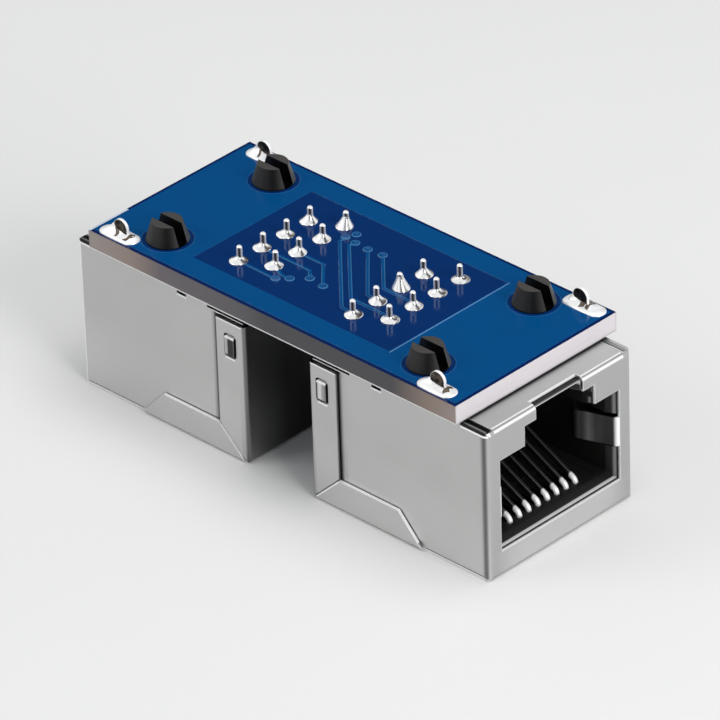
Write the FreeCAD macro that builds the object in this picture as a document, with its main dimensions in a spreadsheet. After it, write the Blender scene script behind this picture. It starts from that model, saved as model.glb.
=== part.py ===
import FreeCAD, Part
import math
import os
import re
import Sketcher

# Shielded inline coupler: two eight-contact jacks soldered back to back under one board.
# The long axis is X, the width is Y and +Z is up. The object stands on the closed faces of
# its two shields, and its origin is on that plane under the middle of the board.
# Jack b has its mouth at +X. Jack a is the same jack turned half a turn about Z.

# Driving dimensions in millimetres and degrees.
SIZES = {
    # circuit board
    "board_length": 38.0,
    "board_margin": 0.85,
    "board_thickness": 1.6,
    "board_standoff": 0.3,
    # folded shield
    "shield_length": 17.9,
    "shield_width": 15.7,
    "shield_height": 12.95,
    "mouth_overhang": 2.25,
    "sheet_metal": 0.25,
    "bend_radius": 0.45,
    "fold_gap": 0.05,
    "seam_gap": 0.08,
    "lip_depth": 3.4,
    "lip_side_gap": 0.5,
    "lip_corner": 0.22,
    "wall_step_length": 4.05,
    "wall_step_depth": 0.65,
    "wall_notch_start": 6.25,
    "wall_notch_length": 1.0,
    "wall_notch_depth": 0.7,
    # rear cover of the shield, with its ears and side flaps
    "ear_length": 2.85,
    "ear_drop": 0.85,
    "flap_height": 2.7,
    "flap_length": 11.4,
    "flap_slant": 2.5,
    "window_start": 0.8,
    "window_length": 1.25,
    "window_drop": 1.05,
    "window_height": 2.05,
    "window_round": 0.3,
    "latch_margin": 0.15,
    "latch_rise": 0.12,
    # mouth opening of the shield
    "mouth_width": 13.0,
    "mouth_low": 2.15,
    "mouth_high": 10.05,
    "step_width": 7.6,
    "step_high": 11.75,
    "latch_width": 5.1,
    "latch_depth": 0.8,
    # grounding fingers folded into the mouth
    "finger_low": 5.1,
    "finger_height": 2.5,
    "finger_metal": 0.2,
    "finger_reach": 3.2,
    "finger_inset": 1.3,
    "finger_root": 0.15,
    "finger_curl": 0.6,
    "finger_root_bend": 0.3,
    "finger_tip_bend": 0.6,
    "finger_overlap": 0.4,
    "finger_pocket_depth": 0.6,
    "finger_pocket_end": 0.4,
    # board tabs of the shield
    "tab_width": 1.4,
    "tab_rise": 1.5,
    "tab_setback": 4.85,
    "tab_play": 0.25,
    # housing
    "housing_clearance": 0.05,
    "cavity_rear": 12.5,
    "lead_in_depth": 0.8,
    "lead_in_width": 0.45,
    "cavity_head": 0.2,
    "latch_roof": 0.35,
    "latch_roof_edge": 0.12,
    "latch_side_gap": 0.1,
    "rear_wall": 0.8,
    "sill_length": 0.5,
    "comb_length": 3.4,
    "comb_margin": 0.6,
    "comb_roof": 0.4,
    "comb_play": 0.07,
    # pegs of the housing
    "peg_spacing": 11.43,
    "peg_setback": 7.75,
    "peg_shank": 3.1,
    "peg_play": 0.1,
    "peg_grip": 0.05,
    "peg_tip": 2.4,
    "peg_rise": 1.65,
    "peg_neck": 0.1,
    "peg_slot": 0.9,
    "peg_shoulder": 4.6,
    "foot_diameter": 1.2,
    "foot_setback": 1.9,
    # contacts
    "contact_pitch": 1.02,
    "tail_pitch": 1.27,
    "tail_row_near": 6.35,
    "tail_row_step": 2.54,
    "wire_diameter": 0.46,
    "wire_slope": 27.0,
    "wire_bend": 0.55,
    "wire_corner": 0.6,
    "wire_lip": 0.07,
    "wire_run_height": 1.85,
    "wire_end": 9.65,
    "jog_start": 9.8,
    "jog_length": 2.2,
    "tail_rise": 1.4,
    "tail_play": 0.22,
    # contact carrier
    "carrier_wall": 0.6,
    "carrier_margin": 0.65,
    "carrier_clearance": 0.05,
    "slot_reach": 5.0,
    # solder
    "solder_diameter": 1.42,
    "solder_rim": 0.05,
    "tab_solder_length": 3.3,
    "tab_solder_width": 1.6,
    "tab_solder_height": 0.4,
    "tab_solder_slope": 45.0,
}

# Height of each solder cone above the board, from contact 1 to contact 8 of each jack.
SOLDER_HEIGHTS = {
    "a": (0.85, 0.8, 0.6, 0.45, 0.6, 0.45, 0.45, 0.45),
    "b": (0.45, 0.45, 0.45, 0.5, 1.2, 0.45, 0.55, 0.45),
}
CONTACTS = 8
# Number of the contact that would stand on the middle plane, counted from 0.
MIDDLE = (CONTACTS - 1) / 2
JACK_TURNS = {"a": 180.0, "b": 0.0}
JACK_SIGNS = {"a": -1, "b": 1}
SIDES = (("right", "-1"), ("left", "1"))
# Solder flank as shares of the cone's width outside the wire, and of its height.
SOLDER_FLANK = ((0.6, 0.16), (0.3, 0.42))
# How near an edge must be to a plane to count as lying in it.
NEAR = 0.01
pieces = {}

doc = FreeCAD.newDocument("InlineCoupler")
sheet = doc.addObject("Spreadsheet::Sheet", "Sizes")
for row, (alias, size) in enumerate(SIZES.items(), start=1):
    sheet.set(f"A{row}", alias.replace("_", " "))
    sheet.set(f"B{row}", str(size))
    sheet.setAlias(f"B{row}", alias)
doc.recompute()

# Places that several pieces share, as formulas on the sheet.
FRONT = "(board_length / 2 + mouth_overhang)"
REAR = f"({FRONT} - shield_length)"
WALL = "(shield_width / 2)"
WALL_INSIDE = f"({WALL} - sheet_metal)"
EAR_INSIDE = f"({WALL} + fold_gap)"
EAR_OUTSIDE = f"({WALL} + fold_gap + sheet_metal)"
EAR_END = f"({REAR} + ear_length)"
EAR_TOP = "(shield_height - ear_drop)"
FLAP_END = f"({REAR} + flap_length)"
BOARD_SIDE = f"({WALL} + board_margin)"
BOARD_LOW = "(shield_height + board_standoff)"
BOARD_TOP = f"({BOARD_LOW} + board_thickness)"
HOUSING_FRONT = f"({FRONT} - sheet_metal - housing_clearance)"
HOUSING_SIDE = f"({WALL_INSIDE} - housing_clearance)"
HOUSING_LOW = "(sheet_metal + housing_clearance)"
HOUSING_TOP = "(shield_height - sheet_metal - housing_clearance)"
HOUSING_REAR = f"({REAR} + sheet_metal + housing_clearance)"
LEAD_IN_END = f"({HOUSING_FRONT} - lead_in_depth)"
CAVITY_SIDE = "(mouth_width / 2 - lead_in_width)"
CAVITY_FLOOR = "(mouth_low + lead_in_width)"
CAVITY_REAR = f"({FRONT} - cavity_rear)"
CARRIER_FRONT = f"({LEAD_IN_END} - sill_length)"
COMB_SIDE = f"(contact_pitch * {MIDDLE} + wire_diameter / 2 + carrier_margin)"
CARRIER_SIDE = f"(tail_pitch * {MIDDLE} + wire_diameter / 2 + carrier_margin)"
BLOCK_FRONT = f"({CAVITY_REAR} - rear_wall - carrier_clearance)"
PEG_X = f"({FRONT} - peg_setback)"
PEG_Y = "(peg_spacing / 2)"
TAB_X = f"({FRONT} - tab_setback)"
TAB_Y = f"({WALL} - sheet_metal / 2)"
ROW_NEAR = f"({PEG_X} - tail_row_near)"
ROW_FAR = f"({ROW_NEAR} - tail_row_step)"
WIRE_RADIUS = "(wire_diameter / 2)"
TAIL_TOP = f"({BOARD_TOP} + tail_rise)"
PEG_HOLE = "(peg_shank / 2 + peg_play)"
PEG_BARB = f"({PEG_HOLE} + peg_grip)"
GROOVE = f"({WIRE_RADIUS} + carrier_clearance)"

# The contact's spring rises from its front bend, so its line starts at the apex of that bend.
WIRE_FRONT = f"({CARRIER_FRONT} - wire_lip - {WIRE_RADIUS})"
WIRE_APEX = f"({WIRE_FRONT} - wire_bend + wire_bend / tan(wire_slope / 2))"
WIRE_END = f"({FRONT} - wire_end)"
JOG_FRONT = f"({FRONT} - jog_start)"
JOG_REAR = f"({JOG_FRONT} - jog_length)"


def spring_height(x):
    """Height of the contact's rising spring at a place along X."""
    return f"(wire_run_height + ({WIRE_APEX} - {x}) * tan(wire_slope))"


# Rotations that stand a flat outline in each plane, and the axis each plane faces.
PLANE_TURNS = {
    "XY": FreeCAD.Rotation(),
    "XZ": FreeCAD.Rotation(FreeCAD.Vector(1, 0, 0), 90),
    "YZ": FreeCAD.Rotation(FreeCAD.Vector(1, 1, 1), 120),
}
PLANE_AXES = {"XY": "z", "XZ": "y", "YZ": "x"}
AXIS_VECTORS = {"x": FreeCAD.Vector(1, 0, 0), "y": FreeCAD.Vector(0, 1, 0), "z": FreeCAD.Vector(0, 0, 1)}


def on_sheet(formula):
    """Point every size name in a formula at the spreadsheet."""
    return re.sub(r"\b([a-z]+(?:_[a-z]+)+)\b", r"Sizes.\1", str(formula))


def value(formula):
    """Work out a formula as a number."""
    return float(sheet.evalExpression(on_sheet(formula)))


def bind(item, field, formula):
    item.setExpression(field, on_sheet(formula))


def block(name, x, y, z):
    """A box between two formulas along each axis."""
    box = doc.addObject("Part::Box", name)
    for axis, field, (low, high) in (("x", "Length", x), ("y", "Width", y), ("z", "Height", z)):
        bind(box, field, f"({high}) - ({low})")
        bind(box, f"Placement.Base.{axis}", low)
    return box


def rod(name, x, y, z, radius):
    """An upright cylinder."""
    cylinder = doc.addObject("Part::Cylinder", name)
    bind(cylinder, "Radius", radius)
    bind(cylinder, "Height", f"({z[1]}) - ({z[0]})")
    bind(cylinder, "Placement.Base.x", x)
    bind(cylinder, "Placement.Base.y", y)
    bind(cylinder, "Placement.Base.z", z[0])
    return cylinder


def cone(name, x, y, z, low_radius, high_radius):
    """An upright cone between two heights."""
    taper = doc.addObject("Part::Cone", name)
    bind(taper, "Radius1", low_radius)
    bind(taper, "Radius2", high_radius)
    bind(taper, "Height", f"({z[1]}) - ({z[0]})")
    bind(taper, "Placement.Base.x", x)
    bind(taper, "Placement.Base.y", y)
    bind(taper, "Placement.Base.z", z[0])
    return taper


def fuse(name, shapes):
    joined = doc.addObject("Part::MultiFuse", name)
    joined.Shapes = shapes
    joined.Refine = True
    return joined


def cut(name, base, tools):
    """Take one tool, or several joined, out of a base."""
    difference = doc.addObject("Part::Cut", name)
    difference.Base = base
    difference.Tool = tools[0] if len(tools) == 1 else fuse(f"{name}_tools", tools)
    difference.Refine = True
    return difference


def common(name, base, tool):
    overlap = doc.addObject("Part::Common", name)
    overlap.Base = base
    overlap.Tool = tool
    return overlap


def side_block(name, sign, x, y, z):
    """A box whose Y range is counted outward from the middle plane."""
    middle = f"({sign}) * (({y[0]}) + ({y[1]})) / 2"
    half = f"(({y[1]}) - ({y[0]})) / 2"
    return block(name, x, (f"{middle} - {half}", f"{middle} + {half}"), z)


def fillet_edges(name, base, radius, wanted):
    """Round the edges of a base that a test on middle point and direction picks."""
    doc.recompute()
    rounded = doc.addObject("Part::Fillet", name)
    rounded.Base = base
    numbers = []
    for number, edge in enumerate(base.Shape.Edges, start=1):
        middle = edge.valueAt((edge.FirstParameter + edge.LastParameter) / 2)
        direction = edge.tangentAt(edge.FirstParameter)
        if wanted(middle, direction):
            numbers.append(number)
    rounded.Edges = [(number, value(radius), value(radius)) for number in numbers]
    return rounded


def draw_polygon(sketch, corners):
    """Closed polygon whose corners are held by formulas."""
    first = sketch.GeometryCount
    count = len(corners)
    places = [FreeCAD.Vector(value(across), value(along), 0) for across, along in corners]
    for index in range(count):
        sketch.addGeometry(Part.LineSegment(places[index], places[(index + 1) % count]), False)
    for index in range(count):
        following = first + (index + 1) % count
        sketch.addConstraint(Sketcher.Constraint("Coincident", first + index, 2, following, 1))
    for index, corner in enumerate(corners):
        for kind, formula in zip(("DistanceX", "DistanceY"), corner):
            rule = Sketcher.Constraint(kind, -1, 1, first + index, 1, value(formula))
            hold(sketch, rule, f"{kind}_{first + index}", formula)


def draw_circle(sketch, across, along, radius):
    """Circle whose centre and radius are held by formulas."""
    place = FreeCAD.Vector(value(across), value(along), 0)
    ring = sketch.addGeometry(Part.Circle(place, FreeCAD.Vector(0, 0, 1), value(radius)), False)
    for kind, formula in (("DistanceX", across), ("DistanceY", along)):
        hold(sketch, Sketcher.Constraint(kind, -1, 1, ring, 3, value(formula)), f"{kind}_{ring}", formula)
    hold(sketch, Sketcher.Constraint("Radius", ring, value(radius)), f"Radius_{ring}", radius)


def hold(sketch, rule, name, formula):
    number = sketch.addConstraint(rule)
    sketch.renameConstraint(number, name)
    bind(sketch, f"Constraints.{name}", formula)


def prism(name, plane, corners, low, high):
    """A polygon in one of the main planes, pushed along the plane's normal from low to high."""
    sketch = doc.addObject("Sketcher::SketchObject", f"{name}_outline")
    sketch.Placement = FreeCAD.Placement(FreeCAD.Vector(), PLANE_TURNS[plane])
    bind(sketch, f"Placement.Base.{PLANE_AXES[plane]}", low)
    draw_polygon(sketch, corners)
    solid = doc.addObject("Part::Extrusion", name)
    solid.Base = sketch
    solid.DirMode = "Custom"
    solid.Dir = AXIS_VECTORS[PLANE_AXES[plane]]
    solid.Solid = True
    bind(solid, "LengthFwd", f"({high}) - ({low})")
    return solid


def body_sketch(body, name, plane):
    """A sketch on one of a body's own origin planes."""
    sketch = body.newObject("Sketcher::SketchObject", name)
    origin = next(face for face in body.Origin.OriginFeatures if face.Role == f"{plane}_Plane")
    sketch.AttachmentSupport = (origin, [""])
    sketch.MapMode = "FlatFace"
    return sketch


def finished(item, label, letter=""):
    """Name a finished piece, and turn it to its own jack."""
    item.Label = label
    if letter:
        turn = FreeCAD.Rotation(AXIS_VECTORS["z"], JACK_TURNS[letter])
        item.Placement = FreeCAD.Placement(FreeCAD.Vector(), turn).multiply(item.Placement)
    pieces[label] = item


def stand_on_board(body, letter, x, y):
    """Stand a piece of solder on the board, at a place given for jack b."""
    bind(body, "Placement.Base.x", f"({JACK_SIGNS[letter]}) * {x}")
    bind(body, "Placement.Base.y", f"({JACK_SIGNS[letter]}) * {y}")
    bind(body, "Placement.Base.z", BOARD_TOP)


def filleted_path(points, radii):
    """Straight runs joined by tangent arcs, one radius for each inner point."""
    edges = []
    start = points[0]
    for before, corner, after, radius in zip(points, points[1:], points[2:], radii):
        inward = (before - corner).normalize()
        outward = (after - corner).normalize()
        half = inward.getAngle(outward) / 2
        reach = radius / math.tan(half)
        first = corner + inward * reach
        last = corner + outward * reach
        bisector = (inward + outward).normalize()
        middle = corner + bisector * (radius / math.sin(half) - radius)
        edges.append(Part.LineSegment(start, first).toShape())
        edges.append(Part.Arc(first, middle, last).toShape())
        start = last
    edges.append(Part.LineSegment(start, points[-1]).toShape())
    return Part.Wire(edges)


def tail_place(index):
    """Tail of a contact: odd ones stand in the row far from the pegs, even ones in the near row."""
    row = ROW_FAR if index % 2 == 0 else ROW_NEAR
    return row, f"(tail_pitch * ({index} - {MIDDLE}))"


# Circuit board with its pin holes, peg holes and tab slots.
def make_board():
    body = doc.addObject("PartDesign::Body", "Board")
    plate = body_sketch(body, "BoardOutline", "XY")
    half_length = "board_length / 2"
    draw_polygon(plate, [(f"-{half_length}", f"-{BOARD_SIDE}"), (half_length, f"-{BOARD_SIDE}"),
                         (half_length, BOARD_SIDE), (f"-{half_length}", BOARD_SIDE)])
    bind(plate, "AttachmentOffset.Base.z", BOARD_LOW)
    pad = body.newObject("PartDesign::Pad", "BoardPad")
    pad.Profile = plate
    bind(pad, "Length", "board_thickness")
    doc.recompute()

    holes = body_sketch(body, "BoardHoles", "XY")
    bind(holes, "AttachmentOffset.Base.z", BOARD_TOP)
    for sign in ("1", "-1"):
        for index in range(CONTACTS):
            across, along = tail_place(index)
            draw_circle(holes, f"({sign}) * {across}", f"({sign}) * {along}", f"{WIRE_RADIUS} + tail_play")
        for side in ("1", "-1"):
            draw_circle(holes, f"({sign}) * {PEG_X}", f"({side}) * {PEG_Y}", PEG_HOLE)
            x_low = f"({sign}) * {TAB_X} - tab_width / 2 - tab_play"
            x_high = f"({sign}) * {TAB_X} + tab_width / 2 + tab_play"
            y_low = f"({side}) * {TAB_Y} - sheet_metal / 2 - tab_play"
            y_high = f"({side}) * {TAB_Y} + sheet_metal / 2 + tab_play"
            draw_polygon(holes, [(x_low, y_low), (x_high, y_low), (x_high, y_high), (x_low, y_high)])
    pocket = body.newObject("PartDesign::Pocket", "BoardPocket")
    pocket.Profile = holes
    pocket.Type = "Length"
    bind(pocket, "Length", "board_thickness * 2")
    doc.recompute()
    finished(body, "circuit_board")


def contact_y(index):
    """Place of a contact across the mouth."""
    return f"(contact_pitch * ({index} - {MIDDLE}))"


def mouth_corners(side, low, high, step_side, step_high, latch_side, latch_high):
    """Stepped outline of a jack's mouth, across Y and up Z."""
    right_half = [(side, low), (side, high), (step_side, high), (step_side, step_high),
                  (latch_side, step_high), (latch_side, latch_high)]
    left_half = [(f"-({across})", up) for across, up in reversed(right_half)]
    return right_half + left_half


def finger_shape(sign):
    """Grounding finger: bent out of the front sheet, slanting in to its tip and curling back."""
    metal = value("finger_metal")
    edge = value("mouth_width / 2")
    front = value(f"{FRONT} - sheet_metal / 2")
    root = edge - value("finger_root")
    tip = FreeCAD.Vector(front - value("finger_reach"), edge - value("finger_inset"), 0)
    curl = FreeCAD.Vector(tip.x - value("finger_curl"), tip.y + value("finger_curl") / 2, 0)
    held = FreeCAD.Vector(front, edge + value("finger_overlap"), 0)
    path = filleted_path([held, FreeCAD.Vector(front, root, 0), tip, curl],
                         [value("finger_root_bend"), value("finger_tip_bend")])
    face = path.makeOffset2D(metal / 2, join=0, fill=False, openResult=True)
    back = path.makeOffset2D(-metal / 2, join=0, fill=False, openResult=True)
    back_ends = [back.OrderedVertexes[0].Point, back.OrderedVertexes[-1].Point]
    caps = []
    for end in (face.OrderedVertexes[0].Point, face.OrderedVertexes[-1].Point):
        caps.append(Part.makeLine(end, min(back_ends, key=end.distanceToPoint)))
    outline = Part.Wire(Part.__sortEdges__(face.Edges + back.Edges + caps))
    solid = Part.Face(outline).extrude(FreeCAD.Vector(0, 0, value("finger_height")))
    solid.translate(FreeCAD.Vector(0, 0, value("finger_low")))
    if sign == "-1":
        solid = solid.mirror(FreeCAD.Vector(), AXIS_VECTORS["y"])
    return solid


def edge_rule(*planes):
    """A test that picks edges lying in all of some planes, each an axis and a place along it."""
    def wanted(middle, direction):
        for axis, place in planes:
            if abs(abs(getattr(middle, axis)) - abs(place)) > NEAR or abs(getattr(direction, axis)) > NEAR:
                return False
        return True
    return wanted


# Shield: one sheet folded into a front, two walls, a lip under the board, a roof and a rear cover.
def make_shield(letter):
    tag = f"Shield{letter.upper()}"
    metal = value("sheet_metal")
    behind = f"({REAR} - sheet_metal)"
    above = "(shield_height + sheet_metal)"

    # front, walls, roof and lip
    outer = block(f"{tag}_outer_box", (f"{REAR} + sheet_metal + fold_gap", FRONT), (f"-{WALL}", WALL),
                  ("0", "shield_height"))
    outer = fillet_edges(f"{tag}_outer", outer, "bend_radius", edge_rule(("x", value(FRONT))))
    inner = block(f"{tag}_inner_box", (behind, f"{FRONT} - sheet_metal"), (f"-{WALL_INSIDE}", WALL_INSIDE),
                  ("sheet_metal", "shield_height - sheet_metal"))
    inner = fillet_edges(f"{tag}_inner", inner, "bend_radius - sheet_metal",
                         edge_rule(("x", value(FRONT) - metal)))
    lip_rear = f"({FRONT} - lip_depth)"
    lip_low = "(shield_height - 2 * sheet_metal)"
    roof_end = f"({FLAP_END} - 2 * sheet_metal)"
    notch_rear = f"({REAR} + wall_notch_start)"
    step_front = f"({REAR} + wall_step_length)"
    openings = [
        inner,
        block(f"{tag}_top", (behind, lip_rear), (f"-{WALL_INSIDE}", WALL_INSIDE), (lip_low, above)),
        block(f"{tag}_under", (REAR, roof_end), (f"-{WALL}", WALL), ("-sheet_metal", "sheet_metal")),
        prism(f"{tag}_mouth", "YZ",
              mouth_corners("mouth_width / 2", "mouth_low", "mouth_high", "step_width / 2", "step_high",
                            "latch_width / 2", above),
              f"{FRONT} - latch_depth", f"{FRONT} + sheet_metal"),
    ]
    for side, sign in SIDES:
        wall = (f"{WALL_INSIDE} - fold_gap", f"{WALL} + sheet_metal")
        openings.append(side_block(f"{tag}_lip_gap_{side}", sign,
                                   (f"{lip_rear} - sheet_metal", f"{FRONT} - lip_corner"),
                                   (f"{WALL_INSIDE} - lip_side_gap", WALL_INSIDE), (lip_low, above)))
        openings.append(side_block(f"{tag}_seam_{side}", sign, (behind, f"{FRONT} - bend_radius"),
                                   wall, ("sheet_metal", "sheet_metal + seam_gap")))
        openings.append(side_block(f"{tag}_step_{side}", sign, (behind, step_front),
                                   wall, ("shield_height - wall_step_depth", above)))
        openings.append(side_block(f"{tag}_notch_{side}", sign,
                                   (notch_rear, f"{notch_rear} + wall_notch_length"),
                                   wall, ("shield_height - wall_notch_depth", above)))
    folded = cut(f"{tag}_folded", outer, openings)

    # rear cover: rear wall, two ears and two side flaps on the roof
    def cover_shape(name, x, side, z, radius):
        box = block(f"{name}_box", x, (f"-{side}", side), z)
        bends = [edge_rule(("x", value(x[0])), ("y", value(side))),
                 edge_rule(("x", value(x[0])), ("z", value(z[0]))),
                 edge_rule(("y", value(side)), ("z", value(z[0])))]
        return fillet_edges(name, box, radius,
                            lambda middle, direction: any(bend(middle, direction) for bend in bends))

    cover_outer = cover_shape(f"{tag}_cover_outer", (REAR, FLAP_END), EAR_OUTSIDE,
                              ("0", EAR_TOP), "bend_radius")
    cover_inner = cover_shape(f"{tag}_cover_inner", (f"{REAR} + sheet_metal", f"{FLAP_END} + sheet_metal"),
                              EAR_INSIDE, ("sheet_metal", f"{EAR_TOP} + sheet_metal"),
                              "bend_radius - sheet_metal")
    hollow = cut(f"{tag}_cover_hollow", cover_outer, [cover_inner])
    middle = block(f"{tag}_cover_middle", (REAR, FLAP_END), (f"-{WALL}", WALL), ("0", EAR_TOP))
    ear = prism(f"{tag}_ear", "XZ",
                [(REAR, "seam_gap"), (EAR_END, "flap_height + seam_gap"),
                 (EAR_END, EAR_TOP), (REAR, EAR_TOP)],
                f"-{EAR_OUTSIDE}", EAR_OUTSIDE)
    flap = prism(f"{tag}_flap", "XZ",
                 [(REAR, "0"), (FLAP_END, "0"), (f"{FLAP_END} - flap_slant", "flap_height"),
                  (EAR_END, "flap_height")],
                 f"-{EAR_OUTSIDE}", EAR_OUTSIDE)
    kept = fuse(f"{tag}_cover_kept", [middle, ear, flap])
    trimmed = common(f"{tag}_cover_trimmed", hollow, kept)

    # ear windows, and the latches of the walls that catch in them
    window_x = (f"{REAR} + window_start", f"{REAR} + window_start + window_length")
    window_z = (f"{EAR_TOP} - window_drop - window_height", f"{EAR_TOP} - window_drop")

    def across_sheet(middle, direction):
        return abs(direction.y) > 1 - NEAR

    windows = []
    latches = []
    for side, sign in SIDES:
        hole = side_block(f"{tag}_window_box_{side}", sign, window_x,
                          (f"{WALL} + fold_gap / 2", f"{EAR_OUTSIDE} + sheet_metal"), window_z)
        windows.append(fillet_edges(f"{tag}_window_{side}", hole, "window_round", across_sheet))
        latch = side_block(f"{tag}_latch_box_{side}", sign,
                           (f"{window_x[0]} + latch_margin", f"{window_x[1]} - latch_margin"),
                           (f"{WALL} - sheet_metal / 2", f"{EAR_OUTSIDE} + latch_rise"),
                           (f"{window_z[0]} + latch_margin", f"{window_z[1]} - latch_margin"))
        latches.append(fillet_edges(f"{tag}_latch_{side}", latch, "window_round - latch_margin",
                                    across_sheet))
    cover = cut(f"{tag}_cover", trimmed, windows)

    # board tabs with round tips, and the grounding fingers
    tabs = []
    fingers = []
    shank_top = f"({BOARD_TOP} + tab_rise - tab_width / 2)"
    for side, sign in SIDES:
        tabs.append(side_block(f"{tag}_tab_{side}", sign,
                               (f"{TAB_X} - tab_width / 2", f"{TAB_X} + tab_width / 2"),
                               (WALL_INSIDE, WALL), ("shield_height - bend_radius", shank_top)))
        tip = doc.addObject("Part::Cylinder", f"{tag}_tab_tip_{side}")
        tip.Placement = FreeCAD.Placement(FreeCAD.Vector(), FreeCAD.Rotation(AXIS_VECTORS["x"], -90))
        bind(tip, "Radius", "tab_width / 2")
        bind(tip, "Height", "sheet_metal")
        bind(tip, "Placement.Base.x", TAB_X)
        bind(tip, "Placement.Base.y", f"({sign}) * {TAB_Y} - sheet_metal / 2")
        bind(tip, "Placement.Base.z", shank_top)
        tabs.append(tip)
        finger = doc.addObject("Part::Feature", f"{tag}_finger_{side}")
        finger.Shape = finger_shape(sign)
        fingers.append(finger)
    finished(fuse(tag, [folded, cover] + latches + tabs + fingers), f"shield_{letter}", letter)


# Housing: plug cavity with its stepped latch slot, split pegs, shoulders under the board and a rear comb.
def make_housing(letter):
    tag = f"Housing{letter.upper()}"
    box = block(f"{tag}_box", (HOUSING_REAR, HOUSING_FRONT), (f"-{HOUSING_SIDE}", HOUSING_SIDE),
                (HOUSING_LOW, HOUSING_TOP))
    bends = [edge_rule(("x", value(HOUSING_FRONT))),
             edge_rule(("x", value(HOUSING_REAR)), ("z", value(HOUSING_LOW)))]
    outside = fillet_edges(f"{tag}_outside", box, "bend_radius - sheet_metal",
                           lambda middle, direction: any(bend(middle, direction) for bend in bends))
    inner = mouth_corners(CAVITY_SIDE, CAVITY_FLOOR, "mouth_high - cavity_head",
                          "step_width / 2 - cavity_head", "step_high - cavity_head",
                          "latch_width / 2 - latch_side_gap", f"{HOUSING_TOP} - latch_roof")
    outer = mouth_corners("mouth_width / 2", "mouth_low", "mouth_high", "step_width / 2", "step_high",
                          "latch_width / 2", f"{HOUSING_TOP} - latch_roof_edge")
    cavity = prism(f"{tag}_cavity", "YZ", inner, CAVITY_REAR, HOUSING_FRONT)
    sections = []
    for name, corners, place in (("deep", inner, LEAD_IN_END), ("wide", outer, HOUSING_FRONT)):
        sketch = doc.addObject("Sketcher::SketchObject", f"{tag}_lead_in_{name}")
        sketch.Placement = FreeCAD.Placement(FreeCAD.Vector(), PLANE_TURNS["YZ"])
        bind(sketch, "Placement.Base.x", place)
        draw_polygon(sketch, corners)
        sections.append(sketch)
    lead_in = doc.addObject("Part::Loft", f"{tag}_lead_in")
    lead_in.Sections = sections
    lead_in.Solid = True
    lead_in.Ruled = True
    slack = "(carrier_clearance + housing_clearance)"
    bay_side = f"({CARRIER_SIDE} + carrier_clearance)"
    bay_front = f"({CAVITY_REAR} - rear_wall)"
    pocket_rear = f"({FRONT} - finger_reach - finger_curl - finger_pocket_end)"
    spaces = [
        cavity,
        lead_in,
        block(f"{tag}_tongue_slot", (bay_front, f"{CARRIER_FRONT} + carrier_clearance"),
              (f"-{bay_side}", bay_side), (f"{HOUSING_LOW} - {slack}", CAVITY_FLOOR)),
        block(f"{tag}_bay", (f"{HOUSING_REAR} - {slack}", bay_front),
              (f"-{bay_side}", bay_side), (f"{HOUSING_LOW} - {slack}", f"{HOUSING_TOP} + {slack}")),
    ]
    for side, sign in SIDES:
        spaces.append(side_block(f"{tag}_finger_pocket_{side}", sign,
                                 (pocket_rear, f"{HOUSING_FRONT} + housing_clearance"),
                                 (f"{CAVITY_SIDE} - finger_metal", "mouth_width / 2 + finger_pocket_depth"),
                                 ("finger_low - finger_metal", "finger_low + finger_height + finger_metal")))
    hollow = cut(f"{tag}_hollow", outside, spaces)

    # comb that keeps the free ends of the contacts apart
    comb_low = f"({spring_height(f'({CAVITY_REAR} + comb_length)')} - {WIRE_RADIUS} - comb_margin)"
    comb_high = f"({spring_height(WIRE_END)} + {WIRE_RADIUS} + comb_margin)"
    comb_body = block(f"{tag}_comb_body", (f"{CAVITY_REAR} - rear_wall / 2", f"{CAVITY_REAR} + comb_length"),
                      (f"-{COMB_SIDE}", COMB_SIDE), (comb_low, comb_high))
    half_slot = f"({WIRE_RADIUS} + comb_play)"
    slots = []
    for index in range(CONTACTS):
        wire_y = contact_y(index)
        slots.append(block(f"{tag}_comb_slot_{index + 1}",
                           (CAVITY_REAR, f"{CAVITY_REAR} + comb_length + comb_roof"),
                           (f"{wire_y} - {half_slot}", f"{wire_y} + {half_slot}"),
                           (f"{comb_low} - comb_roof", f"{comb_high} - comb_roof")))
    comb = cut(f"{tag}_comb", comb_body, slots)

    # split pegs with their shoulders, and two small feet near the rear
    raised = []
    splits = []
    sunk = f"({HOUSING_TOP} - board_standoff)"
    neck = f"({BOARD_TOP} + peg_neck)"
    for side, sign in SIDES:
        peg_y = f"({sign}) * {PEG_Y}"
        raised.append(side_block(f"{tag}_shoulder_{side}", sign,
                                 (f"{PEG_X} - peg_shoulder / 2", f"{PEG_X} + peg_shoulder / 2"),
                                 (f"{PEG_Y} - peg_shoulder / 2", HOUSING_SIDE), (sunk, BOARD_LOW)))
        raised.append(rod(f"{tag}_shank_{side}", PEG_X, peg_y, (sunk, neck), "peg_shank / 2"))
        raised.append(cone(f"{tag}_barb_{side}", PEG_X, peg_y, (neck, f"{BOARD_TOP} + peg_rise"),
                           PEG_BARB, "peg_tip / 2"))
        raised.append(rod(f"{tag}_foot_{side}", f"{REAR} + foot_setback",
                          f"({sign}) * ({HOUSING_SIDE} - foot_diameter)",
                          (sunk, BOARD_LOW), "foot_diameter / 2"))
        splits.append(block(f"{tag}_split_{side}", (f"{PEG_X} - peg_shank", f"{PEG_X} + peg_shank"),
                            (f"{peg_y} - peg_slot / 2", f"{peg_y} + peg_slot / 2"),
                            (BOARD_LOW, f"{BOARD_TOP} + peg_rise + peg_slot")))
    solid = fuse(f"{tag}_solid", [hollow, comb] + raised)
    finished(cut(tag, solid, splits), f"housing_{letter}", letter)


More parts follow.
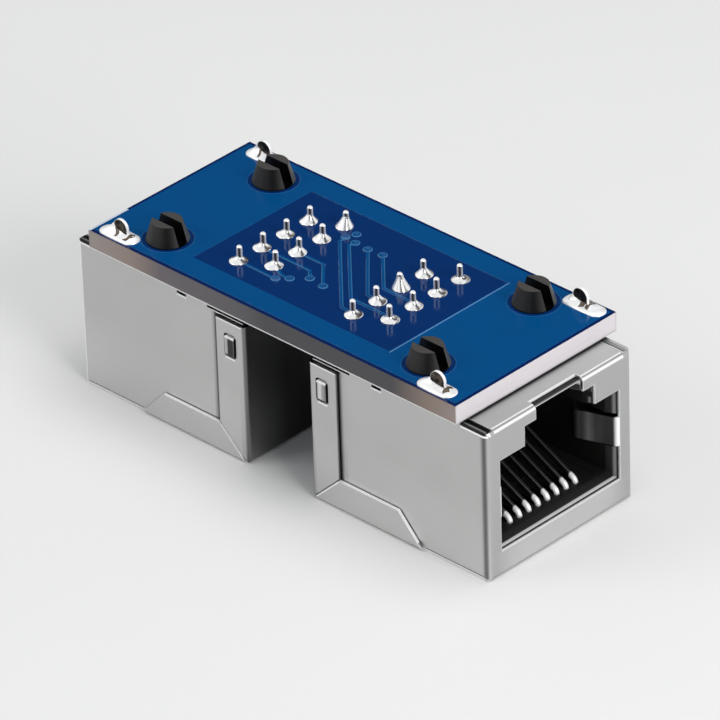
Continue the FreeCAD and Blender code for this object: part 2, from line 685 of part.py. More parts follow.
# Contact carrier: block behind the cavity and a slotted tongue that is the floor under the contacts.
def make_carrier(letter):
    tag = f"Carrier{letter.upper()}"
    rear = f"({HOUSING_REAR} + carrier_clearance)"
    low = HOUSING_LOW
    head = block(f"{tag}_block", (rear, BLOCK_FRONT), (f"-{CARRIER_SIDE}", CARRIER_SIDE),
                 (low, f"{HOUSING_TOP} - carrier_clearance"))
    tongue = block(f"{tag}_tongue", (f"{BLOCK_FRONT} - carrier_wall", CARRIER_FRONT),
                   (f"-{CARRIER_SIDE}", CARRIER_SIDE), (low, f"{CAVITY_FLOOR} - carrier_clearance"))
    solid = fuse(f"{tag}_solid", [head, tongue])
    below = "(sheet_metal)"
    run_top = f"(wire_run_height + {GROOVE})"
    jog_front = f"({JOG_FRONT} + wire_corner)"
    jog_rear = f"({JOG_REAR} - wire_corner)"
    jog_side = f"({CARRIER_SIDE} - carrier_margin / 2)"
    ahead = f"({CARRIER_FRONT} + carrier_clearance)"
    channels = [block(f"{tag}_jog", (jog_rear, jog_front), (f"-{jog_side}", jog_side), (below, run_top))]
    for index in range(CONTACTS):
        number = index + 1
        row, tail_y = tail_place(index)
        wire_y = contact_y(index)
        wire_sides = (f"{wire_y} - {GROOVE}", f"{wire_y} + {GROOVE}")
        tail_sides = (f"{tail_y} - {GROOVE}", f"{tail_y} + {GROOVE}")
        channels.append(block(f"{tag}_groove_{number}", (jog_front, ahead), wire_sides, (below, run_top)))
        channels.append(block(f"{tag}_slot_{number}", (f"{WIRE_APEX} - slot_reach", ahead),
                              wire_sides, (below, f"{CAVITY_FLOOR} + carrier_clearance")))
        channels.append(block(f"{tag}_channel_{number}", (f"{row} - {GROOVE}", jog_rear),
                              tail_sides, (below, run_top)))
        channels.append(block(f"{tag}_corner_{number}",
                              (f"{row} - {GROOVE}", f"{row} + wire_corner + {GROOVE}"),
                              tail_sides, (below, f"wire_run_height + wire_corner + {GROOVE}")))
        channels.append(rod(f"{tag}_bore_{number}", row, tail_y,
                            (below, f"{HOUSING_TOP} + carrier_clearance"), GROOVE))
    finished(cut(tag, solid, channels), f"contact_carrier_{letter}", letter)


# Contact: one round wire from its free end, round the front bend, back under the floor and up to its tail.
def make_contact(letter, index):
    row, tail_y = tail_place(index)
    wire_y = value(contact_y(index))
    run = value("wire_run_height")
    tail = FreeCAD.Vector(value(row), value(tail_y), value(f"{TAIL_TOP} - {WIRE_RADIUS}"))
    points = [
        FreeCAD.Vector(value(WIRE_END), wire_y, value(spring_height(WIRE_END))),
        FreeCAD.Vector(value(WIRE_APEX), wire_y, run),
        FreeCAD.Vector(value(JOG_FRONT), wire_y, run),
        FreeCAD.Vector(value(JOG_REAR), tail.y, run),
        FreeCAD.Vector(tail.x, tail.y, run),
        tail,
    ]
    corner = value("wire_corner")
    path = filleted_path(points, [value("wire_bend"), corner, corner, corner])
    radius = value(WIRE_RADIUS)
    direction = (points[1] - points[0]).normalize()
    ring = Part.Wire([Part.Circle(points[0], direction, radius).toShape()])
    wire = path.makePipeShell([ring], True, False)
    shape = wire.fuse(Part.makeSphere(radius, tail)).removeSplitter()
    contact = doc.addObject("Part::Feature", f"Contact{letter.upper()}{index + 1}")
    contact.Shape = shape.Solids[0] if len(shape.Solids) == 1 else shape
    finished(contact, f"contact_{letter}{index + 1}", letter)


# Solder cone round a contact tail: a flat rim on the board and a hollow flank up the wire.
def make_pin_solder(letter, index):
    row, tail_y = tail_place(index)
    body = doc.addObject("PartDesign::Body", f"PinSolder{letter.upper()}{index + 1}")
    profile = body_sketch(body, f"PinSolderProfile{letter.upper()}{index + 1}", "XZ")
    height = str(SOLDER_HEIGHTS[letter][index])
    wide = "(solder_diameter / 2)"
    flank = [(f"{WIRE_RADIUS} + ({wide} - {WIRE_RADIUS}) * {out}", f"solder_rim + {height} * {up}")
             for out, up in SOLDER_FLANK]
    draw_polygon(profile, [(WIRE_RADIUS, "0"), (wide, "0"), (wide, "solder_rim")] + flank
                 + [(WIRE_RADIUS, f"solder_rim + {height}")])
    turned = body.newObject("PartDesign::Revolution", f"PinSolderTurned{letter.upper()}{index + 1}")
    turned.Profile = profile
    turned.ReferenceAxis = (profile, ["V_Axis"])
    turned.Angle = 360
    stand_on_board(body, letter, row, tail_y)
    finished(body, f"pin_solder_{letter}{index + 1}")


# Solder round a shield tab: a long mound with sloping sides, open where the tab passes.
def make_tab_solder(letter, side, sign):
    tag = f"TabSolder{letter.upper()}_{side}"
    body = doc.addObject("PartDesign::Body", tag)
    mound = body_sketch(body, f"{tag}_outline", "XY")
    straight = "((tab_solder_length - tab_solder_width) / 2)"
    radius = "(tab_solder_width / 2)"
    draw_stadium(mound, straight, radius)
    pad = body.newObject("PartDesign::Pad", f"{tag}_pad")
    pad.Profile = mound
    bind(pad, "Length", "tab_solder_height")
    bind(pad, "TaperAngle", "-tab_solder_slope")
    doc.recompute()
    slot = body_sketch(body, f"{tag}_slot", "XY")
    half_x = "(tab_width / 2)"
    half_y = "(sheet_metal / 2)"
    draw_polygon(slot, [(f"-{half_x}", f"-{half_y}"), (half_x, f"-{half_y}"),
                        (half_x, half_y), (f"-{half_x}", half_y)])
    pocket = body.newObject("PartDesign::Pocket", f"{tag}_pocket")
    pocket.Profile = slot
    pocket.Type = "Length"
    pocket.Reversed = True
    bind(pocket, "Length", "2 * tab_solder_height")
    stand_on_board(body, letter, TAB_X, f"({sign}) * {TAB_Y}")
    finished(body, f"tab_solder_{letter}_{side}")


def draw_stadium(sketch, straight, radius):
    """Two straight sides joined by two half circles, centred on the origin."""
    half = value(straight)
    bend = value(radius)
    quarter = math.pi / 2

    def side_line(start, end, across):
        line = Part.LineSegment(FreeCAD.Vector(start, across, 0), FreeCAD.Vector(end, across, 0))
        return sketch.addGeometry(line, False)

    def end_arc(middle, start, end):
        circle = Part.Circle(FreeCAD.Vector(middle, 0, 0), AXIS_VECTORS["z"], bend)
        return sketch.addGeometry(Part.ArcOfCircle(circle, start, end), False)

    low = side_line(-half, half, -bend)
    right = end_arc(half, -quarter, quarter)
    high = side_line(half, -half, bend)
    left = end_arc(-half, quarter, 3 * quarter)
    for first, last in ((low, right), (right, high), (high, left), (left, low)):
        sketch.addConstraint(Sketcher.Constraint("Tangent", first, 2, last, 1))
    hold(sketch, Sketcher.Constraint("DistanceX", -1, 1, right, 3, half), "half_length", straight)
    hold(sketch, Sketcher.Constraint("DistanceX", left, 3, -1, 1, half), "other_half", straight)
    hold(sketch, Sketcher.Constraint("Radius", right, bend), "end_radius", radius)
    sketch.addConstraint(Sketcher.Constraint("PointOnObject", right, 3, -1))
    sketch.addConstraint(Sketcher.Constraint("PointOnObject", left, 3, -1))


make_board()
for letter in JACK_TURNS:
    make_shield(letter)
    make_housing(letter)
    make_carrier(letter)
    for index in range(CONTACTS):
        make_contact(letter, index)
        make_pin_solder(letter, index)
    for side, sign in SIDES:
        make_tab_solder(letter, side, sign)
doc.recompute()

# Nothing is written unless every object is sound.
for item in doc.Objects:
    if "Invalid" in item.State or "Error" in item.State:
        raise RuntimeError(f"{item.Label} failed: {item.State}")
for label, item in pieces.items():
    if item.Shape.isNull() or not item.Shape.isValid():
        raise RuntimeError(f"{label} has no sound shape")
    if len(item.Shape.Solids) != 1:
        raise RuntimeError(f"{label} has {len(item.Shape.Solids)} solids")

os.makedirs("parts", exist_ok=True)
for label, item in pieces.items():
    item.Shape.exportStep(f"parts/{label}.step")
    print(label, round(item.Shape.Volume, 3))
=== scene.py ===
import math
import random

import bmesh
import bpy
from mathutils import Matrix, Vector, noise


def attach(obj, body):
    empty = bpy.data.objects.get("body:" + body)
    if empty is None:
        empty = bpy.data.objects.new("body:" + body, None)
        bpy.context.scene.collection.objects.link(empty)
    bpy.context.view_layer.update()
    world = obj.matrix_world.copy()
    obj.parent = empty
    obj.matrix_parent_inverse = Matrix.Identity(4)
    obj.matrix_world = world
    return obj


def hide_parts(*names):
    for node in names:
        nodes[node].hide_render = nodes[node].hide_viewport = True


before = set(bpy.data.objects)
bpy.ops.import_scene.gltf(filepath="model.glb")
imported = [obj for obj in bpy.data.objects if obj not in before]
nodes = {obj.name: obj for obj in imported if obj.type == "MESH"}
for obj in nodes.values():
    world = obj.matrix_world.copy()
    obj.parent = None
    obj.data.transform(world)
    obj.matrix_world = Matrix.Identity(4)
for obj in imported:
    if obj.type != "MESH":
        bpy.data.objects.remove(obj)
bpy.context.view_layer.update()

# Places and sizes are in millimetres, as on the drawing. MM takes them to metres.
MM = 0.001

# The drawing's sizes that the dressing lines up with.
BOARD_HALF_LENGTH = 19.0
BOARD_HALF_WIDTH = 8.7
BOARD_TOP = 14.85
BOARD_LOW = 13.25
WIRE_RADIUS = 0.23
ROW_NEAR = 7.15
ROW_FAR = 4.61
TAIL_PITCH = 1.27
MIDDLE_TAIL = 4.5
PEG_X = 13.5
PEG_Y = 5.715
TAB_X = 16.4
TAB_Y = 7.725


class Tone:
    """A value between shader nodes. Arithmetic on it adds Math nodes."""

    def __init__(self, painter, socket):
        self.painter = painter
        self.socket = socket

    def math(self, operation, first, second=0.0):
        return self.painter.node("ShaderNodeMath", {"operation": operation}, {0: first, 1: second})

    def __add__(self, other):
        return self.math("ADD", self, other)

    def __radd__(self, other):
        return self.math("ADD", other, self)

    def __sub__(self, other):
        return self.math("SUBTRACT", self, other)

    def __rsub__(self, other):
        return self.math("SUBTRACT", other, self)

    def __mul__(self, other):
        return self.math("MULTIPLY", self, other)

    def __rmul__(self, other):
        return self.math("MULTIPLY", other, self)

    def __gt__(self, other):
        return self.math("GREATER_THAN", self, other)

    def __lt__(self, other):
        return self.math("LESS_THAN", self, other)

    def __abs__(self):
        return self.math("ABSOLUTE", self)


def between(value, low, high):
    """1 where a value lies between two bounds and 0 elsewhere."""
    return (value > low) * (value < high)


def colour(red, green, blue):
    return (red, green, blue, 1.0)


def grey(level):
    return (level, level, level, 1.0)


class Painter:
    """Adds nodes to one tree, a material's or the world's."""

    def __init__(self, tree):
        self.tree = tree

    def node(self, kind, settings=None, sockets=None, output=0):
        """Any node: its settings first, then the values or links of its sockets."""
        made = self.tree.nodes.new(kind)
        for name, setting in (settings or {}).items():
            if name == "stops":
                ramp = made.color_ramp
                while len(ramp.elements) < len(setting):
                    ramp.elements.new(0.5)
                for element, (position, tone) in zip(ramp.elements, setting):
                    element.position = position
                    element.color = tone
            else:
                setattr(made, name, setting)
        for key, value in (sockets or {}).items():
            if isinstance(value, Tone):
                self.tree.links.new(value.socket, made.inputs[key])
            else:
                made.inputs[key].default_value = value
        return Tone(self, made.outputs[output]) if made.outputs else made

    def blend(self, share, first, second):
        """The first colour where share is 0 and the second where it is 1."""
        return self.node("ShaderNodeMix", {"data_type": "RGBA"}, {0: share, 6: first, 7: second}, output=2)

    def ramp(self, share, *stops):
        """A colour that follows share through pairs of a position and a colour."""
        return self.node("ShaderNodeValToRGB", {"stops": stops}, {0: share})

    def shade(self, share, *stops):
        """A grey that follows share through pairs of a position and a level. It also serves as a mask."""
        return self.ramp(share, *((position, grey(level)) for position, level in stops))

    def bands(self, value, place, *stops):
        """Greys in bands along a value. The place is where they start and the ramp's share of a millimetre."""
        start, scale = place
        return self.shade((value - start) * scale, *stops)

    def clamp(self, value):
        return self.node("ShaderNodeClamp", None, {0: value})

    def axes(self, source):
        """The three numbers of a place or a direction."""
        parts = self.node("ShaderNodeSeparateXYZ", None, {0: source}).socket.node
        return [Tone(self, parts.outputs[axis]) for axis in "XYZ"]

    def dot(self, first, second):
        """How far two directions agree: 1 when they are the same."""
        return self.node("ShaderNodeVectorMath", {"operation": "DOT_PRODUCT"}, {0: first, 1: second},
                         output="Value")


class Finish(Painter):
    """A procedural finish: one material and the nodes that paint it."""

    def __init__(self, name, sockets=None):
        self.material = bpy.data.materials.new(name)
        self.material.use_nodes = True
        super().__init__(self.material.node_tree)
        self.shader = self.tree.nodes["Principled BSDF"]
        self.tone = None
        for socket, value in (sockets or {}).items():
            self.shader.inputs[socket].default_value = value

    def paint(self, socket, tone):
        self.tree.links.new(tone.socket, self.shader.inputs[socket])

    def tint(self, where, tone, strength=1.0):
        """Lay another tone over the finish where a mask says so."""
        self.tone = self.blend(where * strength, self.tone, tone)

    def place(self):
        """Where a point of the surface is, in millimetres along X, Y and Z."""
        return [way * (1 / MM) for way in self.axes(self.node("ShaderNodeTexCoord", output="Object"))]

    def normal(self):
        return self.node("ShaderNodeNewGeometry", output="Normal")

    def facing(self):
        """The surface's own direction along X, Y and Z."""
        return self.axes(self.normal())

    def clouds(self, size, detail=2.0, stretch=(1.0, 1.0, 1.0)):
        """Noise about so many millimetres across, drawn out along an axis by a small stretch."""
        spot = self.node("ShaderNodeTexCoord", output="Object")
        drawn = self.node("ShaderNodeVectorMath", {"operation": "MULTIPLY"}, {0: spot, 1: stretch})
        return self.node("ShaderNodeTexNoise", None,
                         {"Vector": drawn, "Scale": 1 / (size * MM), "Detail": detail})

    def relief(self, height, depth, strength=1.0, ground=None):
        """Raise the surface by height times a depth in millimetres, over another direction if given."""
        sockets = {"Strength": strength, "Distance": depth * MM, "Height": height}
        if ground:
            sockets["Normal"] = ground
        self.paint("Normal", self.node("ShaderNodeBump", None, sockets))

    def eased(self, radius):
        """The surface's direction with its edges eased by a radius, and how far an edge turns it."""
        soft = self.node("ShaderNodeBevel", {"samples": 6}, {"Radius": radius * MM})
        return soft, 1 - self.dot(soft, self.normal())

    def seam(self, reach):
        """0 in the open and towards 1 in a seam, for what lies within so many millimetres."""
        free = self.node("ShaderNodeAmbientOcclusion", {"samples": 8, "only_local": True},
                         {"Distance": reach * MM}, output="AO")
        return 1 - free


class SheetNickel(Finish):
    """Satin nickel plate on rolled sheet, with painted highlights on cut edges, painted dark reflection and
    shade down upright bends and painted shade in seams.

    Its masks follow places on a shield: length is the way out along X from the coupler's middle to
    a mouth, breadth the way out along Y, and z the height above the floor.
    """

    # Places outwards along X.
    BELOW_EAR_LENGTH = (3.6, 6.2)
    REAR_WALL = 3.9
    REAR_FACE = 4.2
    WINDOW_LENGTH = (4.1, 5.45)
    WINDOW_FOOT_LENGTH = (4.3, 5.3)
    EAR_EDGE_LENGTH = (6.0, 6.35)
    BESIDE_EAR_LENGTH = (6.1, 6.95)
    EAR_END = 6.2
    ABOVE_EAR = 6.45
    NOTCH_LENGTH = (9.6, 10.6)
    FINGER_LENGTH = (17.2, 21.02)
    WALL_EDGE = 18.0
    PLAIN_SIDE_LENGTH = (18.0, 21.0)
    SLOT_LENGTH = (18.6, 21.10)
    BELOW_SLOT_LENGTH = (18.6, 21.2)
    BOARD_SHADOW = 19.2
    LIP_CUT_LENGTH = (20.2, 20.7)
    BEND = 20.4
    ROLL = 20.6
    CUT = 20.9
    RIM = 21.07
    MOUTH_FACE = 21.2
    FACE_START = 21.24
    # Places outwards along Y, and two on the near side.
    FINGER_BREADTH = (4.5, 6.6)
    TURN_BREADTH = 5.6
    CUT_HALF_WIDTH = 6.62
    ROLL_HALF_WIDTH = 7.0
    PLAIN_SIDE = 7.0
    REAR_EDGE = 7.5
    WINDOW_BACK = 7.8
    LAPPED_WALL = 8.0
    EAR_FACE = 8.1
    LATCH_FACE = 8.16
    SLOT_SIDE = (-7.95, -7.07)
    NEAR_WALL = -7.4
    BELOW_SLOT_SIDE = -7.42
    # Places up.
    FOOT_LINE = (0.05, 0.20)
    LEDGES = (0.6, 11.9)
    BELOW_MOUTH = 2.2
    BELOW_EAR = 2.8
    CUT_HEIGHT = (2.0, 11.9)
    FINGER_HEIGHT = (5.0, 7.75)
    WINDOW_HEIGHT = (8.8, 11.15)
    WINDOW_FOOT = (8.84, 9.02)
    LATCH_FOOT = 9.32
    EAR_ROOF = (11.9, 12.4)
    EAR_LINE = (11.98, 12.12)
    ROLL_FOOT = 12.0
    EAR_GAP = 12.05
    NOTCH_LINE = (12.1, 12.26)
    EAR_TOP = 12.2
    WALL_SHOULDER = 12.5
    BELOW_SLOT = (12.50, 12.68)
    WALL_TOP = 12.6
    SLOT_FOOT = 12.68
    LIP = 12.9
    # Length less breadth where the bend beside a mouth begins and ends, and how far on from there its painted
    # highlight lies.
    CORNER = 12.65
    CORNER_END = 13.6
    CORNER_SHINE = (0.36, 0.84)
    # Length plus breadth where the rear bend ends.
    REAR_CORNER = 11.95
    # The slanted seam under an ear: its rise with length, start and scale, and where its painted shade line
    # and painted highlight line lie.
    SLANT = 0.947
    SLANT_START = 3.173
    SLANT_SCALE = 0.726
    SLANT_DARK = (-0.01, 0.11)
    SLANT_BRIGHT = (-0.13, -0.01)
    # How much further out the left jack's ear ends.
    FURTHER = 0.27
    # Where a row of bands of painted light and shade starts, and how much of its ramp one millimetre is.
    FACE_BANDS = (0.0, 0.125)
    REAR_BANDS = (0.0, 0.1316)
    LIP_BANDS = (18.6, 1.0)
    LATCH_BANDS = (4.15, 0.8)
    LATCH_TOP_BANDS = (10.0, 1.0)
    FINGER_BANDS = (17.3, 0.27)
    TURN_BANDS = (20.3, 1.0)
    SLOT_BANDS = (7.0, 1.0)
    REAR_TURN_SCALE = 0.8
    # Tones of painted shade and painted highlight.
    PAINTED_SHADE = grey(0.05)
    PAINTED_DEEP_SHADE = grey(0.01)
    PAINTED_HIGHLIGHT = grey(0.97)

    def __init__(self):
        super().__init__("sheet_nickel")
        self.rolled = self.clouds(0.5, 3.0, (0.06, 1.0, 1.0))
        self.cloud = self.clouds(5.0)
        self.x, self.y, self.z = self.place()
        self.length = abs(self.x)
        self.breadth = abs(self.y)
        self.along, self.across, self.upward = self.facing()
        self.ends = abs(self.along) > 0.9
        self.sides = abs(self.across) > 0.5
        self.level = self.upward > 0.9
        self.soft, self.edge = self.eased(0.12)
        # Painted shade in seams, darker where a point is more closed in.
        self.seam_shade = self.clamp(self.seam(0.40) * 1.6 - 0.30)
        self.lip = self.level * (self.z > self.LIP)
        self.ear_face = (self.breadth > self.EAR_FACE) * self.sides
        self.round_corner = self.length - self.breadth - self.CORNER
        self.lay_plate()
        self.lay_bends()
        self.lay_ear()
        self.lay_latch()
        self.lay_finger()
        self.lay_board_tabs()
        self.lay_mouth()
        self.lay_slot()
        # Painted highlights: near-white tone and less metal along the edges and lines that are to look lit.
        bright = self.shining_mouth() + self.shining_top() + self.shining_sides() + self.edge_highlights()
        bright = self.clamp(bright)
        self.tint(bright, self.PAINTED_HIGHLIGHT)
        self.paint("Base Color", self.tone)
        self.paint("Metallic", 1 - bright * 0.85 - self.lip * (1 - bright) * 0.75)
        self.paint("Roughness", 0.26 + 0.10 * self.rolled + 0.08 * self.cloud + 0.2 * self.lip)
        self.relief(self.rolled, 0.004, 0.5, self.soft)

    def lay_plate(self):
        """The plain plate with painted light: paler low down and under the mouth, and the lip, painted lighter
        towards +Y and with a painted shadow next to the board.
        """
        mouth_face = (self.length > self.MOUTH_FACE) * self.ends
        low_down = self.clamp(1 - self.z * 0.143)
        near_side = self.clamp(self.y * 0.08 + 0.45)
        self.tone = self.blend(self.cloud, colour(0.475, 0.475, 0.472), colour(0.535, 0.535, 0.53))
        self.tint(low_down * self.sides, grey(0.90), 0.32)
        self.tint(mouth_face, grey(0.50))
        self.tint(mouth_face * (self.z < self.BELOW_MOUTH), self.bands(
            self.breadth, self.FACE_BANDS, (0.50, 0.67), (0.68, 0.63), (0.88, 0.51)))
        self.tint(self.lip, self.blend(near_side, grey(0.41), grey(0.50)))
        self.tint(self.lip * (self.length < self.BOARD_SHADOW), self.bands(
            self.length, self.LIP_BANDS, (0.06, 0.03), (0.27, 0.07), (0.36, 0.22), (0.50, 0.40)))

    def lay_bends(self):
        """Painted shade: a painted dark reflection down the bend before the mouth, painted shade down the rear
        bend and a dim rear wall.
        """
        bend = (self.length > self.BEND) * (self.z < self.WALL_TOP) * (abs(self.upward) < 0.4)
        near_left = (self.x < 0) * (self.y < 0)
        self.turned_away = bend * near_left * (self.length - self.breadth < self.CORNER_END)
        self.tint((bend - self.turned_away) * self.shade(
            self.round_corner, (0.0, 0.0), (0.10, 0.15), (0.30, 0.64), (0.42, 0.76), (0.52, 0.70),
            (0.63, 0.52), (0.75, 0.08), (0.84, 0.0)), self.PAINTED_DEEP_SHADE)
        rear_turn = (self.REAR_CORNER - self.length - self.breadth) * self.REAR_TURN_SCALE
        self.tint((self.length < self.REAR_WALL) * (self.z < self.EAR_TOP), self.shade(
            rear_turn, (0.20, 0.505), (0.32, 0.23), (0.40, 0.18), (0.50, 0.20), (0.67, 0.29),
            (0.76, 0.38), (0.84, 0.30), (0.92, 0.27)))
        self.tint(self.ends * (self.length < self.REAR_FACE), self.bands(
            self.breadth, self.REAR_BANDS, (0.30, 0.05), (0.50, 0.08), (0.72, 0.19), (0.95, 0.27)))

    def lay_ear(self):
        """Round the ear that laps the wall: a painted soft shadow beside it, painted shade with a painted
        light line above it, painted shade on level faces at the ear's top, and a painted shade line along the
        slanted seam below it.
        """
        wall = (self.breadth < self.LAPPED_WALL) * self.sides
        beside = wall * between(self.length, *self.BESIDE_EAR_LENGTH) * (self.z < self.EAR_TOP)
        self.tint(beside, self.shade(
            self.length - self.EAR_END - (self.x < 0) * self.FURTHER,
            (0.0, 0.01), (0.10, 0.09), (0.20, 0.26), (0.30, 0.39), (0.50, 0.5)))
        above = wall * (self.z > self.EAR_GAP) * (self.length < self.ABOVE_EAR)
        self.tint(above, self.blend(self.z > self.EAR_TOP, self.PAINTED_DEEP_SHADE, grey(0.75)))
        self.tint(self.level * between(self.z, *self.EAR_ROOF), self.PAINTED_SHADE)
        self.slant = (self.z - self.length * self.SLANT + self.SLANT_START) * self.SLANT_SCALE
        self.beside_slant = (self.ear_face * between(self.length, *self.BELOW_EAR_LENGTH)
                             * (self.z < self.BELOW_EAR))
        self.tint(self.beside_slant * between(self.slant, *self.SLANT_DARK), grey(0.10))

    def lay_latch(self):
        """The latch in the ear's window: painted light along its top and outer side, painted shade inside and
        at its foot.
        """
        self.window = (between(self.length, *self.WINDOW_LENGTH) * between(self.z, *self.WINDOW_HEIGHT)
                       * (self.breadth > self.WINDOW_BACK))
        latch = (self.breadth > self.LATCH_FACE) * self.window
        self.tint(latch * (self.x < 0), self.bands(
            self.length, self.LATCH_BANDS, (0.0, 0.05), (0.58, 0.04), (0.66, 0.42), (0.88, 0.46),
            (0.95, 0.08)))
        self.tint(latch * (self.x > 0), self.bands(
            self.length, self.LATCH_BANDS, (0.18, 0.05), (0.28, 0.66), (0.48, 0.68), (0.58, 0.40),
            (0.76, 0.32), (0.86, 0.14), (1.0, 0.12)))
        self.tint(latch * (self.z < self.LATCH_FOOT), self.PAINTED_SHADE)
        top = self.bands(self.z, self.LATCH_TOP_BANDS, (0.66, 0.0), (0.76, 0.9), (0.86, 0.9), (0.94, 0.2))
        self.tint(latch * top, grey(0.90))

    def lay_finger(self):
        """The grounding finger, painted dark in soft upright bands of painted reflection, lighter at its outer
        end.
        """
        self.finger_height = between(self.z, *self.FINGER_HEIGHT)
        self.finger = (between(self.length, *self.FINGER_LENGTH) * between(self.breadth, *self.FINGER_BREADTH)
                       * self.finger_height)
        self.tint(self.finger, self.bands(
            self.length, self.FINGER_BANDS, (0.10, 0.10), (0.17, 0.30), (0.20, 0.36), (0.27, 0.19),
            (0.30, 0.15), (0.36, 0.20), (0.42, 0.33), (0.46, 0.38), (0.52, 0.25), (0.60, 0.125),
            (0.72, 0.115), (0.80, 0.085), (0.955, 0.07), (0.985, 0.35), (1.0, 0.60)))

    def lay_board_tabs(self):
        """The tabs that stand out of the board, painted in a dark mottled brown."""
        self.tint(self.z > BOARD_TOP, self.ramp(
            self.clouds(0.5), (0.40, colour(0.012, 0.010, 0.010)), (0.52, colour(0.06, 0.047, 0.036)),
            (0.66, colour(0.11, 0.09, 0.07))))

    def lay_mouth(self):
        """Painted shade on the cut round the mouth next to the housing, and in every seam."""
        self.mouth_cut = ((self.length > self.CUT) * (abs(self.along) < 0.3)
                          * (self.breadth < self.CUT_HALF_WIDTH) * between(self.z, *self.CUT_HEIGHT))
        self.open_cut = self.mouth_cut * (1 - self.finger_height)
        self.tint(self.open_cut, self.PAINTED_DEEP_SHADE)
        self.tint(self.seam_shade, grey(0.02))

    def lay_slot(self):
        """Painted shade in the slot beside the lip and on the wall beside it, round the corner of the rolled
        bend, with a painted light line for the wall's fold inside it.
        """
        self.slot = (between(self.y, *self.SLOT_SIDE) * between(self.length, *self.SLOT_LENGTH)
                     * (self.z > self.SLOT_FOOT))
        self.tint(self.slot, self.bands(
            self.breadth, self.SLOT_BANDS, (0.07, 0.42), (0.16, 0.34), (0.25, 0.20), (0.35, 0.13),
            (0.45, 0.05), (0.60, 0.05), (0.64, 0.17), (0.75, 0.17), (0.80, 0.02), (0.95, 0.02)))

    def shining_mouth(self):
        """Painted highlights on the edges round the mouth: those that look up, its outer edge, the lip's cut
        and the finger's turn, and a painted outline round the near bend.
        """
        ledge = ((self.upward > 0.4) * between(self.z, *self.LEDGES) * (1 - self.finger)
                 * (1 - self.open_cut))
        rim = self.mouth_cut * (self.length > self.RIM)
        turn = self.finger_height * between(self.length, self.CUT, self.FACE_START)
        turn = turn * between(self.breadth, self.TURN_BREADTH, self.CUT_HALF_WIDTH)
        turn = turn * self.bands(self.length, self.TURN_BANDS, (0.66, 0.0), (0.76, 0.45), (0.84, 1.0))
        lip_cut = self.ends * between(self.length, *self.LIP_CUT_LENGTH) * (self.z > self.WALL_TOP)
        outline = self.turned_away * between(self.round_corner, *self.CORNER_SHINE) * 0.8
        return ledge + rim + turn + lip_cut + outline * (self.length < self.FACE_START)

    def shining_top(self):
        """Painted highlights along the rolled bend over the mouth, the wall's edge beside the slot and the
        board tabs.
        """
        roll = ((self.length > self.ROLL) * (self.z > self.ROLL_FOOT) * (abs(self.along) > 0.1)
                * (self.breadth < self.ROLL_HALF_WIDTH))
        roll = roll * self.shade(
            self.upward, (0.18, 0.0), (0.36, 0.8), (0.57, 1.0), (0.66, 0.35), (0.76, 0.0), (0.87, 0.1),
            (0.90, 0.75), (0.96, 0.75), (0.985, 0.0))
        wall_edge = ((self.z > self.WALL_SHOULDER) * (1 - self.slot) * (self.y < self.NEAR_WALL)
                     * (self.upward > 0.1) * (self.length > self.WALL_EDGE))
        below_slot = (between(self.z, *self.BELOW_SLOT) * (self.y < self.BELOW_SLOT_SIDE)
                      * between(self.length, *self.BELOW_SLOT_LENGTH))
        tab_rim = (self.z > BOARD_TOP) * (abs(self.across) < 0.5)
        return roll + wall_edge + below_slot + tab_rim

    def shining_sides(self):
        """Painted highlights along the ear's top, the notch, the window's foot, the slanted seam and the
        wall's foot.
        """
        ear_line = self.ear_face * between(self.z, *self.EAR_LINE) * (self.length < self.EAR_END)
        notch_line = self.sides * between(self.length, *self.NOTCH_LENGTH) * between(self.z, *self.NOTCH_LINE)
        window_foot = (self.ear_face * between(self.length, *self.WINDOW_FOOT_LENGTH)
                       * between(self.z, *self.WINDOW_FOOT))
        flap_line = self.beside_slant * between(self.slant, *self.SLANT_BRIGHT)
        foot_line = self.sides * between(self.z, *self.FOOT_LINE) * 0.5
        return ear_line + notch_line + window_foot + flap_line + foot_line

    def edge_highlights(self):
        """Painted highlights on eased edges, but not in seams, the slot, the ear's side, the window or the
        finger.
        """
        rear_edge = (self.length < self.REAR_WALL) * (self.breadth > self.REAR_EDGE)
        ear_edge = between(self.length, *self.EAR_EDGE_LENGTH) * (self.breadth > self.WINDOW_BACK)
        plain_side = ((self.y > self.PLAIN_SIDE) * (self.z > self.EAR_TOP)
                      * between(self.length, *self.PLAIN_SIDE_LENGTH))
        edge_highlight = self.clamp(self.edge * 6 * (1 - self.seam_shade * 1.4))
        edge_highlight = edge_highlight * (1 - self.slot) * (1 - rear_edge) * (1 - ear_edge) * (1 - self.finger)
        return edge_highlight * (1 - 0.85 * plain_side) * (1 - 0.8 * self.window)


# Places on a housing: outwards along X, on the far side along Y, and up.
STRIP_START = 18.6
NOTCH_ROOF = 20.0
LEAD_IN = 20.16
NOTCH_HALF_WIDTH = 4
STRIP_SIDE = 7.1
LEAD_IN_TOP = 10.5
NOTCH_ROOF_HEIGHT = (11.0, 12.64)
STRIP_FOOT = 12.5
PEG_TOP = BOARD_TOP + 1
LEAD_IN_BANDS = (20.15, 1.25)
NOTCH_ROOF_BANDS = (11.8, 1.25)


